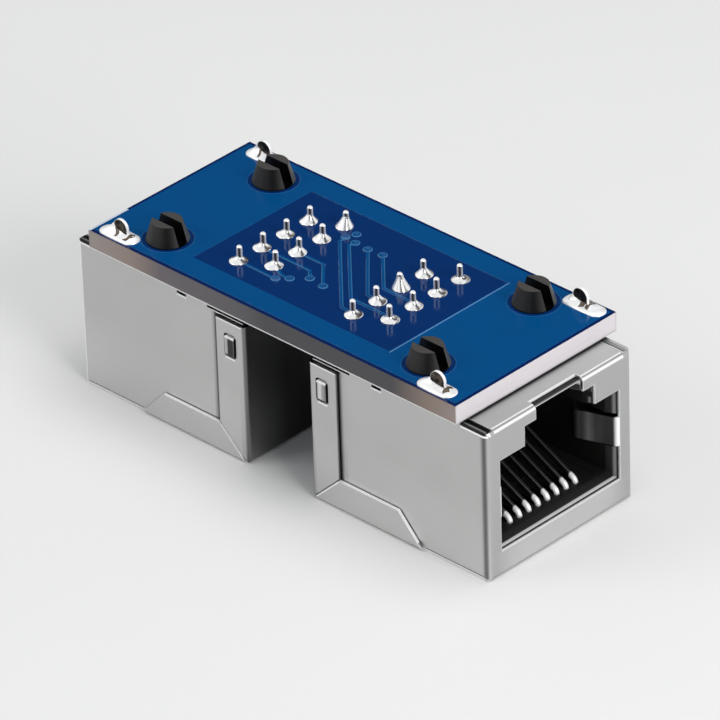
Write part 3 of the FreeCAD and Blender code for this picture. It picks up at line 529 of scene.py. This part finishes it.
def moulded_black():
    """Black moulded plastic: a fine matt grain, painted light on the peg tops, a painted reflection on the
    lead-in at the mouth and painted highlights on edges.
    """
    finish = Finish("moulded_black", {"IOR": 1.5, "Specular IOR Level": 0.20})
    grain = finish.clouds(0.12, 4.0)
    cloud = finish.clouds(2.5)
    x, y, z = finish.place()
    along, across, upward = finish.facing()
    length = abs(x)
    soft, edge = finish.eased(0.06)
    finish.tone = finish.blend(cloud, colour(0.008, 0.0078, 0.0074), colour(0.016, 0.0152, 0.0145))
    # The pegs: a painted gleam round them by which way they face, painted shade inside their split, and
    # painted light on their tops.
    peg = z > BOARD_TOP
    finish.tint(peg, finish.ramp(
        along * 0.355 + across * 0.35 + 0.5, (0.0, colour(0.036, 0.033, 0.030)), (0.25, grey(0.018)),
        (0.45, grey(0.004)), (0.62, grey(0.006)), (0.76, grey(0.040)), (0.90, grey(0.062))))
    finish.tint(peg * (abs(across) > 0.97), grey(0.001))
    finish.tint((z > PEG_TOP) * (upward > 0.9), colour(0.060, 0.057, 0.053))
    # The lead-in: sill and jambs with a painted grey reflection towards the metal, and painted shade at the
    # very edge.
    sill = finish.bands(length, LEAD_IN_BANDS, (0.0, 0.008), (0.64, 0.012), (0.72, 0.46), (0.91, 0.54),
                        (0.95, 0.01))
    jamb = finish.bands(length, LEAD_IN_BANDS, (0.0, 0.006), (0.50, 0.012), (0.60, 0.06), (0.68, 0.16),
                        (0.78, 0.22), (0.86, 0.20), (0.93, 0.06), (1.0, 0.01))
    lead_in = (length > LEAD_IN) * between(abs(along), 0.2, 0.9) * (z < LEAD_IN_TOP)
    finish.tint(lead_in, finish.blend(upward > 0.5, jamb, sill))
    # Painted light on the strip that shows past the lip on the far side, and painted highlight bands on the
    # notch's roof over the plug's latch.
    finish.tint((y > STRIP_SIDE) * (length > STRIP_START) * (z > STRIP_FOOT), grey(0.78))
    roof = (length > NOTCH_ROOF) * between(z, *NOTCH_ROOF_HEIGHT) * (abs(y) < NOTCH_HALF_WIDTH)
    finish.tint(roof, finish.bands(
        z, NOTCH_ROOF_BANDS, (0.38, 0.05), (0.46, 0.15), (0.53, 0.45), (0.61, 0.80), (0.70, 0.80),
        (0.80, 0.66), (0.90, 0.75), (0.97, 0.35), (1.0, 0.10)))
    # Painted highlights on eased edges, strongest on the notch's roof.
    edge_highlight = finish.clamp(edge * (0.8 + 3 * roof))
    finish.tint(edge_highlight, finish.blend(roof, grey(0.09), grey(0.65)))
    finish.paint("Base Color", finish.tone)
    finish.paint("Roughness", 0.30 + 0.20 * grain)
    finish.relief(grain, 0.008, 0.5, soft)
    return finish.material


# Where the contacts bend, outwards along X, and how a direction between X and Y shares the two; the painted
# light and shade on tails and cone flanks follow that direction.
CONTACT_BANDS = (18.3, 1.0)
SHARE_ALONG = 0.71
SHARE_ACROSS = 0.70


def contact_plate():
    """Tin plate on drawn wire: slanting runs painted dark as shade with one painted line of light, painted
    highlights on the bends, and tails painted light and shade by which way they face.
    """
    finish = Finish("contact_plate")
    drawn = finish.clouds(0.2, 3.0, (1.0, 1.0, 0.1))
    x, _, z = finish.place()
    along, across, upward = finish.facing()
    above = z > BOARD_TOP
    bend = finish.bands(abs(x), CONTACT_BANDS, (0.52, 0.0), (0.66, 1.0))
    glint = finish.shade(abs(across), (0.16, 0.012), (0.26, 0.24), (0.36, 0.24), (0.46, 0.012))
    run = finish.blend(bend, glint, grey(0.99))
    turn = abs(along * SHARE_ALONG + across * SHARE_ACROSS)
    tail_sides = finish.shade(turn, (0.20, 0.05), (0.45, 0.30), (0.70, 0.98))
    tail_top = finish.blend(drawn, grey(0.94), grey(0.99))
    finish.paint("Base Color", finish.blend(above, run, finish.blend(upward > 0.4, tail_sides, tail_top)))
    finish.paint("Metallic", 0.80 - 0.30 * above - 0.45 * bend * (1 - above))
    finish.paint("Roughness", 0.36 - 0.14 * above + 0.08 * drawn)
    finish.relief(drawn, 0.002, 0.3)
    return finish.material


# Solder further out along Y than this is a mound. Burnt flux lies on it in runs, each between two places
# beside the tab and above a height over the board.
MOUND_SIDE = 6.6
FAR_RUN = (-0.36, -0.06)
FAR_RUN_FOOT = 0.24
OUTER_RUN = (0.66, 1.0)
OUTER_RUN_FOOT = 0.21
BACK_RUN = (0.15, 0.60)
BACK_RUN_FOOT = 0.22


def set_solder():
    """Bright set solder, rippled where it froze, with a painted shade streak down the same flank of each cone
    and dark burnt flux round the tabs.
    """
    finish = Finish("set_solder")
    ripple = finish.clouds(0.9, 1.5)
    frost = finish.clouds(0.25, 3.0)
    x, y, z = finish.place()
    along, across, upward = finish.facing()
    mound = abs(y) > MOUND_SIDE
    finish.tone = finish.blend(frost, grey(0.93), grey(0.99))
    # Painted shade: a dark streak down the same flank of each cone.
    flank = along * SHARE_ALONG + across * SHARE_ACROSS + 0.5 * ripple - 0.25
    streak = finish.shade(flank * 0.5 + 0.5, (0.60, 0.0), (0.66, 0.9), (0.72, 0.9), (0.80, 0.0))
    finish.tint(streak * (upward < 0.90) * (1 - mound), colour(0.055, 0.050, 0.045))
    # Burnt flux runs down below each tab and gathers beside it.
    beside = x - (x > 0) * 2 * TAB_X + TAB_X
    wander = beside + 0.9 * (ripple - 0.5)
    raised = z - BOARD_TOP
    flux = between(wander, *FAR_RUN) * (raised > FAR_RUN_FOOT) * (x < 0)
    flux = flux + between(wander, *OUTER_RUN) * (raised > OUTER_RUN_FOOT)
    flux = flux + between(wander, *BACK_RUN) * (raised > BACK_RUN_FOOT) * (x > 0) * (y > 0)
    burnt = finish.blend(frost, colour(0.07, 0.05, 0.035), colour(0.16, 0.12, 0.09))
    finish.tint(finish.clamp(flux * (upward < 0.985)) * mound, burnt)
    finish.paint("Base Color", finish.tone)
    finish.paint("Metallic", 0.85 - 0.20 * frost - 0.45 * mound)
    finish.paint("Roughness", 0.09 + 0.08 * frost + 0.12 * mound)
    finish.relief(ripple, 0.03, 0.4)
    return finish.material


# The board's mask is darker beyond the copper and rubbed off at one end. A painted highlight line runs low
# down on the edges.
BEYOND_COPPER_X = 18.6
BEYOND_COPPER_Y = 8.3
RUBBED_X = -18.8
RUBBED_Y = -4.6
LOW_HIGHLIGHT_TOP = BOARD_LOW + 0.11


def board_laminate():
    """Bare board: dark blue mask on both faces, with painted shade on the long laminate edges and painted
    light on the pale ends.
    """
    finish = Finish("board_laminate", {"IOR": 1.5, "Specular IOR Level": 0.35})
    x, y, z = finish.place()
    _, across, upward = finish.facing()
    soft, _ = finish.eased(0.30)
    weave = finish.clouds(0.7, 2.0, (0.3, 0.3, 2.5))
    speck = finish.clouds(0.25, 3.0)
    # The long edges, painted darker as shade, lighter and browner towards their ends, with a painted highlight
    # line low down.
    shaded_long_edges = finish.ramp(
        x * (0.5 / BOARD_HALF_LENGTH) + 0.5,
        (0.0, colour(0.36, 0.32, 0.30)), (0.12, colour(0.32, 0.25, 0.22)),
        (0.20, colour(0.15, 0.135, 0.145)), (0.42, colour(0.11, 0.108, 0.12)),
        (0.49, colour(0.066, 0.068, 0.076)), (0.83, colour(0.066, 0.064, 0.072)),
        (0.92, colour(0.27, 0.21, 0.175)), (1.0, colour(0.36, 0.29, 0.265)))
    shaded_long_edges = finish.blend(weave * 0.20, shaded_long_edges, colour(0.14, 0.115, 0.12))
    shaded_long_edges = finish.blend(z < LOW_HIGHLIGHT_TOP, shaded_long_edges, grey(0.85))
    lit_end_edges = finish.blend(weave, colour(0.70, 0.665, 0.685), colour(0.64, 0.605, 0.625))
    edges = finish.blend(abs(across) > 0.5, lit_end_edges, shaded_long_edges)
    # The faces: darker where no copper lies under the mask, and pale where it is rubbed off.
    mask = finish.blend(speck, colour(0.0, 0.024, 0.120), colour(0.001, 0.029, 0.140))
    margin = finish.node("ShaderNodeMath", {"operation": "MAXIMUM"},
                         {0: abs(x) > BEYOND_COPPER_X, 1: abs(y) > BEYOND_COPPER_Y})
    mask = finish.blend(margin, mask, colour(0.0, 0.014, 0.090))
    mask = finish.blend((x < RUBBED_X) * (y < RUBBED_Y), mask, colour(0.60, 0.66, 0.74))
    on_face = abs(upward) > 0.5
    finish.paint("Base Color", finish.blend(on_face, edges, mask))
    finish.paint("Roughness", 0.62 - 0.54 * on_face + 0.03 * speck)
    ground = finish.node("ShaderNodeMix", {"data_type": "VECTOR"}, {0: on_face, 4: soft, 5: finish.normal()},
                         output=1)
    finish.relief(weave, 0.02, 0.3, ground)
    return finish.material


def poured_mask(name, low, high, roughness=0.08):
    """Blue solder mask flowed over copper, a little uneven like poured lacquer."""
    finish = Finish(name, {"IOR": 1.5, "Specular IOR Level": 0.35})
    flow = finish.clouds(3.0, 2.0)
    speck = finish.clouds(0.3, 3.0)
    finish.paint("Base Color", finish.blend(flow, low, high))
    finish.paint("Roughness", roughness + 0.03 * speck)
    finish.relief(speck, 0.002, 0.4)
    return finish.material


def print_ink():
    """Pale blue ink of the printed line, slightly worn."""
    finish = Finish("print_ink", {"IOR": 1.45})
    speck = finish.clouds(0.2, 4.0)
    finish.paint("Base Color", finish.blend(speck, colour(0.07, 0.20, 0.42), colour(0.15, 0.32, 0.58)))
    finish.paint("Roughness", 0.35 + 0.2 * speck)
    return finish.material


# Corners nearer to each other than this are one corner.
WELD = 1e-4


def piece(name, mesh, material, smooth_angle=35.0):
    """Put a finished mesh on the object: its material and the body it rides on."""
    holder = bpy.data.objects.new(name, mesh)
    bpy.context.scene.collection.objects.link(holder)
    mesh.materials.append(material)
    mesh.shade_smooth()
    mesh.set_sharp_from_angle(angle=math.radians(smooth_angle))
    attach(holder, "root")
    return holder


def weld(mesh):
    """Join corners that meet and turn every face outwards."""
    work = bmesh.new()
    work.from_mesh(mesh)
    bmesh.ops.remove_doubles(work, verts=work.verts, dist=WELD * MM)
    bmesh.ops.recalc_face_normals(work, faces=work.faces)
    work.to_mesh(mesh)
    work.free()
    return mesh


def mesh_from(name, points, faces):
    mesh = bpy.data.meshes.new(name)
    mesh.from_pydata([Vector(point) * MM for point in points], [], faces)
    return weld(mesh)


def cut_plate(name, outline, windows, low, high, round_edge):
    """A thin plate with windows, its edges slightly rounded."""
    curve = bpy.data.curves.new(f"{name}_line", "CURVE")
    curve.dimensions = "2D"
    curve.fill_mode = "BOTH"
    curve.extrude = ((high - low) / 2 - round_edge) * MM
    curve.bevel_depth = round_edge * MM
    curve.bevel_resolution = 2
    for loop in [outline] + windows:
        spline = curve.splines.new("POLY")
        spline.points.add(len(loop) - 1)
        for point, (x, y) in zip(spline.points, loop):
            point.co = (x * MM, y * MM, 0, 1)
        spline.use_cyclic_u = True
    holder = bpy.data.objects.new(f"{name}_line", curve)
    bpy.context.scene.collection.objects.link(holder)
    bpy.context.view_layer.update()
    mesh = bpy.data.meshes.new_from_object(holder.evaluated_get(bpy.context.evaluated_depsgraph_get()))
    bpy.data.objects.remove(holder)
    mesh.name = name
    mesh.materials.clear()
    mesh.transform(Matrix.Translation((0, 0, (low + high) / 2 * MM)))
    return weld(mesh)


def rectangle(half_x, half_y):
    return [(-half_x, -half_y), (half_x, -half_y), (half_x, half_y), (-half_x, half_y)]


def circle(x, y, radius, count=64):
    turns = [math.tau * step / count for step in range(count)]
    return [(x + radius * math.cos(turn), y + radius * math.sin(turn)) for turn in turns]


def ribbon(points, left, right, low, high):
    """Points and faces of a raised strip along straight runs, from left to right of its line, with mitres."""
    line = [Vector(point) for point in points]
    slope = min((right - left) / 4, high - low)
    section = ((left, low), (left + slope, high), (right - slope, high), (right, low))
    corners = []
    for index, spot in enumerate(line):
        before = (spot - line[index - 1]).normalized() if index else None
        after = (line[index + 1] - spot).normalized() if index + 1 < len(line) else None
        across = [Vector((run.y, -run.x)) for run in (before, after) if run]
        side = sum(across, Vector((0, 0))).normalized()
        stretch = 1 / side.dot(across[0])
        for reach, height in section:
            place = spot + side * stretch * reach
            corners.append((place.x, place.y, height))
    rings = [list(range(start, start + 4)) for start in range(0, len(corners), 4)]
    return corners, [rings[0][::-1]] + skin(rings) + [rings[-1]]


def skin(rings):
    """Faces between rings of corner numbers, closed to triangles where a ring is one point."""
    faces = []
    for low_ring, high_ring in zip(rings, rings[1:]):
        for step in range(len(low_ring)):
            following = (step + 1) % len(low_ring)
            face = [low_ring[step], low_ring[following], high_ring[following], high_ring[step]]
            face = list(dict.fromkeys(face))
            if len(face) > 2:
                faces.append(face)
    return faces


def turned(profile, x, y, segments, sway=None):
    """Points and faces of a profile turned about an upright axis, each point moved by sway if it is given."""
    corners = []
    rings = []
    for level, (radius, height) in enumerate(profile):
        ring = []
        for step in range(segments if radius else 1):
            turn = math.tau * step / segments
            spot = Vector((radius * math.cos(turn), radius * math.sin(turn), height))
            if sway:
                spot = sway(spot, turn, level / (len(profile) - 1))
            ring.append(len(corners))
            corners.append((x + spot.x, y + spot.y, spot.z))
        rings.append(ring if radius else ring * segments)
    return corners, skin(rings)


def joined(parts):
    """Several sets of points and faces as one."""
    corners = []
    faces = []
    for part_corners, part_faces in parts:
        start = len(corners)
        corners += part_corners
        faces += [[start + corner for corner in face] for face in part_faces]
    return corners, faces


# The finishes, and the drawn solids that keep their shape.
nickel = SheetNickel().material
black = moulded_black()
tin = contact_plate()
solder = set_solder()
laminate = board_laminate()
copper_mask = poured_mask("mask_on_copper", colour(0.0, 0.064, 0.210), colour(0.0, 0.070, 0.228))
# Paler masks for painted highlights along the tracks' right edges and round vias and pegs.
paler_highlight_mask = poured_mask("mask_painted_highlight", colour(0.030, 0.14, 0.30), colour(0.045, 0.18, 0.37), 0.15)
ring_highlight_mask = poured_mask("mask_painted_ring_highlight", colour(0.004, 0.085, 0.25), colour(0.012, 0.10, 0.29), 0.15)
ink = print_ink()

# A node's first word gives its finish.
FINISH_OF = {"circuit": laminate, "shield": nickel, "housing": black, "contact": tin, "pin": solder,
             "tab": solder}
for name, node in nodes.items():
    material = FINISH_OF[name.split("_")[0]]
    if name.startswith("contact_carrier"):
        material = black
    for slot in node.material_slots:
        slot.material = material

# Copper under the mask. It stands COPPER above the board, and each coating starts a little below its top.
COPPER = 0.04
SUNK = BOARD_TOP - 0.01
MARGIN = 0.3
ROUNDED = 0.012
FIELD_HALF_X = 10.15
FIELD_HALF_Y = 6.4
PEG_RING = 2.0
PEG_HOLES = [(side * PEG_X, end * PEG_Y) for side in (-1, 1) for end in (-1, 1)]
pour = cut_plate("copper_pour", rectangle(BOARD_HALF_LENGTH - MARGIN, BOARD_HALF_WIDTH - MARGIN),
                 [rectangle(FIELD_HALF_X, FIELD_HALF_Y)] + [circle(x, y, PEG_RING) for x, y in PEG_HOLES],
                 SUNK, BOARD_TOP + COPPER, ROUNDED)
piece("copper_pour", pour, copper_mask, smooth_angle=5.0)


def tail(jack, number):
    """Where a contact's tail stands in the board."""
    sign = 1 if jack == "b" else -1
    row = ROW_FAR if number % 2 else ROW_NEAR
    return (sign * row, sign * TAIL_PITCH * (number - MIDDLE_TAIL))


# Each track from its tail to its via. The shoulder is a strip of paler mask along its right edge: a painted
# highlight.
TRACKS = [
    [tail("a", 8), (-3.36, -4.50)],
    [tail("a", 7), (-3.95, -3.52), (-3.40, -3.80), (-2.54, -3.82)],
    [tail("a", 6), (-2.22, -1.95), (-1.42, -2.81)],
    [tail("a", 5), (-2.08, -0.65), (0.09, -2.95)],
    [tail("b", 1), (3.20, -4.20), (-3.54, 2.60), (-3.54, 3.25)],
    [tail("b", 2), (6.40, -2.90), (2.90, -2.90), (-2.59, 2.62), (-2.41, 3.13)],
    [tail("b", 3), (3.44, -1.66), (-1.05, 3.06)],
    [tail("b", 4), (6.40, -0.30), (3.75, -0.25), (0.38, 3.19)],
]
TRACK_HALF = 0.15
SHOULDER_LEFT = TRACK_HALF - 0.085
SHOULDER_RIGHT = TRACK_HALF + 0.01
SHOULDER_TOP = BOARD_TOP + COPPER + 0.012
tracks = joined([ribbon(run, -TRACK_HALF, TRACK_HALF, SUNK, BOARD_TOP + COPPER) for run in TRACKS])
piece("copper_tracks", mesh_from("copper_tracks", *tracks), copper_mask)
shoulders = joined([ribbon(run, SHOULDER_LEFT, SHOULDER_RIGHT, SUNK, SHOULDER_TOP) for run in TRACKS])
piece("track_shoulders", mesh_from("track_shoulders", *shoulders), paler_highlight_mask)


def on_board(profile, places, segments):
    """A profile of radius and height above the board, turned at each of these places."""
    raised = [(radius, BOARD_TOP + height) for radius, height in profile]
    return joined([turned(raised, x, y, segments) for x, y in places])


VIAS = [(-3.36, -4.50), (-2.54, -3.82), (-1.42, -2.81), (0.09, -2.95), (-3.54, 3.25), (-3.19, 4.07),
        (-2.41, 3.13), (-1.05, 3.06), (0.38, 3.19)]
VIA_PAD = [(0.0, 0.02), (0.12, 0.025), (0.17, 0.052), (0.32, 0.055), (0.36, 0.0), (0.36, -0.01),
           (0.0, -0.01)]
VIA_RING = [(0.30, 0.02), (0.31, 0.064), (0.34, 0.070), (0.385, 0.03), (0.39, -0.01), (0.30, -0.01),
            (0.30, 0.02)]
RING_EDGE = [(PEG_RING, 0.02), (PEG_RING + 0.01, COPPER + 0.012), (PEG_RING + 0.08, COPPER + 0.014),
             (PEG_RING + 0.10, 0.0), (PEG_RING, 0.0), (PEG_RING, 0.02)]
piece("via_pads", mesh_from("via_pads", *on_board(VIA_PAD, VIAS, 32)), copper_mask)
# Painted highlights: rings of paler mask round the vias and peg holes.
piece("via_rings", mesh_from("via_rings", *on_board(VIA_RING, VIAS, 32)), paler_highlight_mask)
piece("peg_rings", mesh_from("peg_rings", *on_board(RING_EDGE, PEG_HOLES, 72)), ring_highlight_mask)

LINE_X = 10.3
LINE_HALF_LENGTH = 6.5
LINE_HALF_WIDTH = 0.06
LINE_TOP = BOARD_TOP + 0.06
line = ribbon([(LINE_X, -LINE_HALF_LENGTH), (LINE_X, LINE_HALF_LENGTH)], -LINE_HALF_WIDTH, LINE_HALF_WIDTH,
              BOARD_TOP, LINE_TOP)
piece("printed_line", mesh_from("printed_line", *line), ink)

# Height of each solder cone, and how full its flank is: a low power is a full cone, a high one a thin brim.
CONES = {
    ("a", 1): (0.95, 1.4), ("a", 2): (0.72, 1.7), ("a", 3): (0.62, 1.7), ("a", 4): (0.55, 2.1),
    ("a", 5): (0.66, 1.8), ("a", 6): (0.55, 2.1), ("a", 7): (0.55, 2.0), ("a", 8): (0.50, 2.2),
    ("b", 1): (0.52, 2.0), ("b", 2): (0.45, 2.5), ("b", 3): (0.62, 1.8), ("b", 4): (0.62, 1.8),
    ("b", 5): (1.10, 1.3), ("b", 6): (0.50, 2.2), ("b", 7): (0.70, 1.8), ("b", 8): (0.40, 2.9),
}
# How far each jack's brims sit from their tails, along X and along Y.
BRIM_SHIFT = {"a": -0.09, "b": 0.05}
CONE_RADIUS = 0.72
CONE_RIM = 0.06
CONE_LEVELS = 14
CONE_SEGMENTS = 48
SOLDER_SMOOTH = 60.0


def cone_profile(height, power):
    """Radius and height of a cone of solder, from its middle below, over its rim, to its top."""
    wire = WIRE_RADIUS * 0.98
    profile = [(0.0, 0.0), (CONE_RADIUS * 0.97, 0.0), (CONE_RADIUS, CONE_RIM / 2)]
    for level in range(CONE_LEVELS + 1):
        share = level / CONE_LEVELS
        radius = wire + (CONE_RADIUS - WIRE_RADIUS) * (1 - share) ** power
        profile.append((radius, CONE_RIM + height * share))
    profile.append((0.0, CONE_RIM + height))
    return [(radius, BOARD_TOP + up) for radius, up in profile]


for (jack, number), (height, power) in CONES.items():
    drops = random.Random(f"{jack}{number}")
    lean = drops.uniform(0, math.tau)
    amount = drops.uniform(0.02, 0.05)
    dent = drops.uniform(0, math.tau)
    dent_amount = drops.uniform(0.01, 0.03)
    shift = BRIM_SHIFT[jack]

    def lopsided(spot, turn, share):
        """A point of this cone, moved most at the brim and not at all at the top."""
        low = 1 - share
        grow = 1 + low * (amount * math.cos(turn - lean) + dent_amount * math.cos(2 * (turn - dent)))
        return Vector((spot.x * grow + shift * low, spot.y * grow + shift * low, spot.z))

    cone = turned(cone_profile(height, power), *tail(jack, number), CONE_SEGMENTS, lopsided)
    name = f"cone_{jack}{number}"
    dressed = piece(name, mesh_from(name, *cone), solder, SOLDER_SMOOTH)
    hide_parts(f"pin_solder_{jack}{number}")

# A mound stands MOUND_FOOT high at its edge and MOUND_DOME more over its body, under the run up the tab.
MOUND_HALF_WIDTH = 0.8
MOUND_FOOT = 0.05
MOUND_DOME = 0.16
MOUND_TOP = 0.2
MOUND_STEPS = 72
MOUND_LEVELS = 16
# How narrow the run up the tab is, and how steeply it rises there.
CLIMB_POWER = 1.6
FLANK_POWER = 1.9
LUMP_HEIGHT = 0.10
LUMPS_PER_MM = 1.5
TAB_HALF_LENGTH = 0.72
TAB_HALF_THICK = 0.14
# Above the shoulder the tab's top is round, so the solder closes in on it from a little lower.
TAB_SHOULDER = 0.8
SHOULDER_GAP = 0.03


def stadium(turn, half_long, half_wide):
    """A point round a long shape with half-round ends."""
    across = math.cos(turn)
    straight = half_long - half_wide
    return (math.copysign(straight, across) * min(1.0, abs(across) * 3) + half_wide * across,
            half_wide * math.sin(turn))


def mound(x, y, seed, crest, climb, climb_turn, reach, half_length):
    """Solder round a board tab: a low domed body, run up the tab most on one side."""
    drops = random.Random(seed)
    shift = Vector((drops.uniform(0, 50), drops.uniform(0, 50), 0))
    corners = [(x, y, BOARD_TOP)]
    rings = [[0] * MOUND_STEPS]
    levels = [(0.0, 0.0)] + [(level / MOUND_LEVELS, 1.0) for level in range(MOUND_LEVELS + 1)]
    for share, raised in levels:
        dome = MOUND_DOME * math.sqrt(min(1.0, share * 3))
        ring = []
        for step in range(MOUND_STEPS):
            turn = math.tau * step / MOUND_STEPS
            run_up = crest + climb * max(0.0, math.cos(turn - climb_turn)) ** CLIMB_POWER
            top = run_up + MOUND_FOOT + MOUND_DOME + SHOULDER_GAP
            over = min(1.0, max(0.0, top - TAB_SHOULDER) / TAB_HALF_LENGTH)
            outer = Vector(stadium(turn, half_length, MOUND_HALF_WIDTH)) + Vector((reach, 0))
            inner = Vector(stadium(turn, TAB_HALF_LENGTH * math.sqrt(1 - over * over), TAB_HALF_THICK))
            spot = outer.lerp(inner, share)
            lump = LUMP_HEIGHT * noise.noise(Vector((spot.x, spot.y, 0)) * LUMPS_PER_MM + shift)
            up = MOUND_FOOT + dome + run_up * share ** FLANK_POWER + lump * math.sin(math.pi * share)
            ring.append(len(corners))
            corners.append((x + spot.x, y + spot.y, BOARD_TOP + raised * up))
        rings.append(ring)
    rings.append([len(corners)] * MOUND_STEPS)
    corners.append((x, y, BOARD_TOP + MOUND_TOP + crest))
    return corners, skin(rings)


# How high the solder stands round each tab, how much further it climbs on one side and on which side,
# how far its middle is from the tab along X, and half its length.
MOUNDS = {
    ("a", "right"): (0.20, 0.90, 3.45, -0.05, 1.70), ("a", "left"): (0.22, 0.95, 3.4, -0.22, 1.87),
    ("b", "right"): (0.18, 0.40, 3.4, -0.12, 1.77), ("b", "left"): (0.18, 0.55, 3.4, 0.30, 1.95),
}
for (jack, side), form in MOUNDS.items():
    sign = 1 if jack == "b" else -1
    y_sign = sign * (-1 if side == "right" else 1)
    name = f"mound_{jack}_{side}"
    shape = mound(sign * TAB_X, y_sign * TAB_Y, name, *form)
    dressed = piece(name, mesh_from(name, *shape), solder, SOLDER_SMOOTH)
    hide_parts(f"tab_solder_{jack}_{side}")

# The floor and the lamps.
FLOOR_HALF = 3000.0
pale_floor = Finish("pale_floor", {"Roughness": 0.75, "IOR": 1.4})
pale_floor.paint("Base Color", pale_floor.blend(pale_floor.clouds(40.0), colour(0.78, 0.78, 0.77),
                                                colour(0.81, 0.81, 0.80)))
floor_corners = [(x, y, 0.0) for x, y in rectangle(FLOOR_HALF, FLOOR_HALF)]
floor = bpy.data.objects.new("floor", mesh_from("floor", floor_corners, [(0, 1, 2, 3)]))
bpy.context.scene.collection.objects.link(floor)
floor.data.materials.append(pale_floor.material)

LAMP_AIM = Vector((0, 0, 8))


def lamp(name, place, size, power, mirrored=True):
    """A square soft box that faces the object, seen in shiny parts or not."""
    light = bpy.data.lights.new(name, "AREA")
    light.size = size * MM
    light.energy = power
    holder = bpy.data.objects.new(name, light)
    holder.location = Vector(place) * MM
    holder.rotation_euler = (LAMP_AIM * MM - holder.location).to_track_quat("-Z", "Y").to_euler()
    holder.visible_glossy = mirrored
    bpy.context.scene.collection.objects.link(holder)


lamp("overhead", place=(60, 60, 520), size=360, power=1.35, mirrored=False)
lamp("right_box", place=(430, -60, 220), size=260, power=1.3)
lamp("left_box", place=(-260, -340, 300), size=240, power=0.40)

# The camera stands as in the photograph: far off, with a long lens, and tipped a little.
AZIMUTH = math.radians(44.76)
ELEVATION = math.radians(31.93)
ROLL = math.radians(-1.92)
TARGET = Vector((3.869, -3.114, 10.0))
DISTANCE = 581.6
FOCAL_LENGTH = 390.0
SENSOR_WIDTH = 36.0
back = Vector((math.sin(AZIMUTH) * math.cos(ELEVATION), -math.cos(AZIMUTH) * math.cos(ELEVATION),
               math.sin(ELEVATION)))
level = Vector((math.cos(AZIMUTH), math.sin(AZIMUTH), 0))
rise = back.cross(level)
right = level * math.cos(ROLL) + rise * math.sin(ROLL)
up = rise * math.cos(ROLL) - level * math.sin(ROLL)
lens = bpy.data.cameras.new("photo_camera")
lens.lens = FOCAL_LENGTH
lens.sensor_width = SENSOR_WIDTH
camera = bpy.data.objects.new("photo_camera", lens)
turned_to_object = Matrix((right, up, back)).transposed().to_4x4()
camera.matrix_world = Matrix.Translation((TARGET + back * DISTANCE) * MM) @ turned_to_object
bpy.context.scene.collection.objects.link(camera)
bpy.context.scene.camera = camera


def studio(box_axis):
    """Plain pale room for the camera. Shiny parts see two soft boxes along an axis, and a ceiling."""
    world = bpy.data.worlds.new("studio")
    bpy.context.scene.world = world
    world.use_nodes = True
    world.node_tree.nodes.clear()
    room = Painter(world.node_tree)
    sight = room.node("ShaderNodeTexCoord", output="Generated")
    _, _, height = room.axes(sight)
    boxes = room.shade(room.dot(sight, tuple(box_axis)) * 0.5 + 0.5, (0.0, 1.0), (0.30, 0.95), (0.42, 0.05),
                       (0.78, 0.04), (0.90, 0.85), (1.0, 0.95))
    ceiling = room.shade(height, (0.62, 0.0), (0.85, 1.0))
    mirrored = room.blend(ceiling, boxes, grey(0.75))
    by_camera = room.node("ShaderNodeLightPath", output="Is Camera Ray")
    by_gloss = Tone(room, by_camera.socket.node.outputs["Is Glossy Ray"])
    shown = room.node("ShaderNodeBackground", None, {0: room.blend(by_camera, mirrored, grey(0.80))})
    fill = room.node("ShaderNodeBackground", None, {0: colour(0.95, 0.97, 1.0), 1: 0.35})
    mix = room.node("ShaderNodeMixShader", None, {0: by_camera + by_gloss, 1: fill, 2: shown})
    room.node("ShaderNodeOutputWorld", None, {0: mix})


studio(level)
bpy.context.scene.view_settings.view_transform = "Standard"
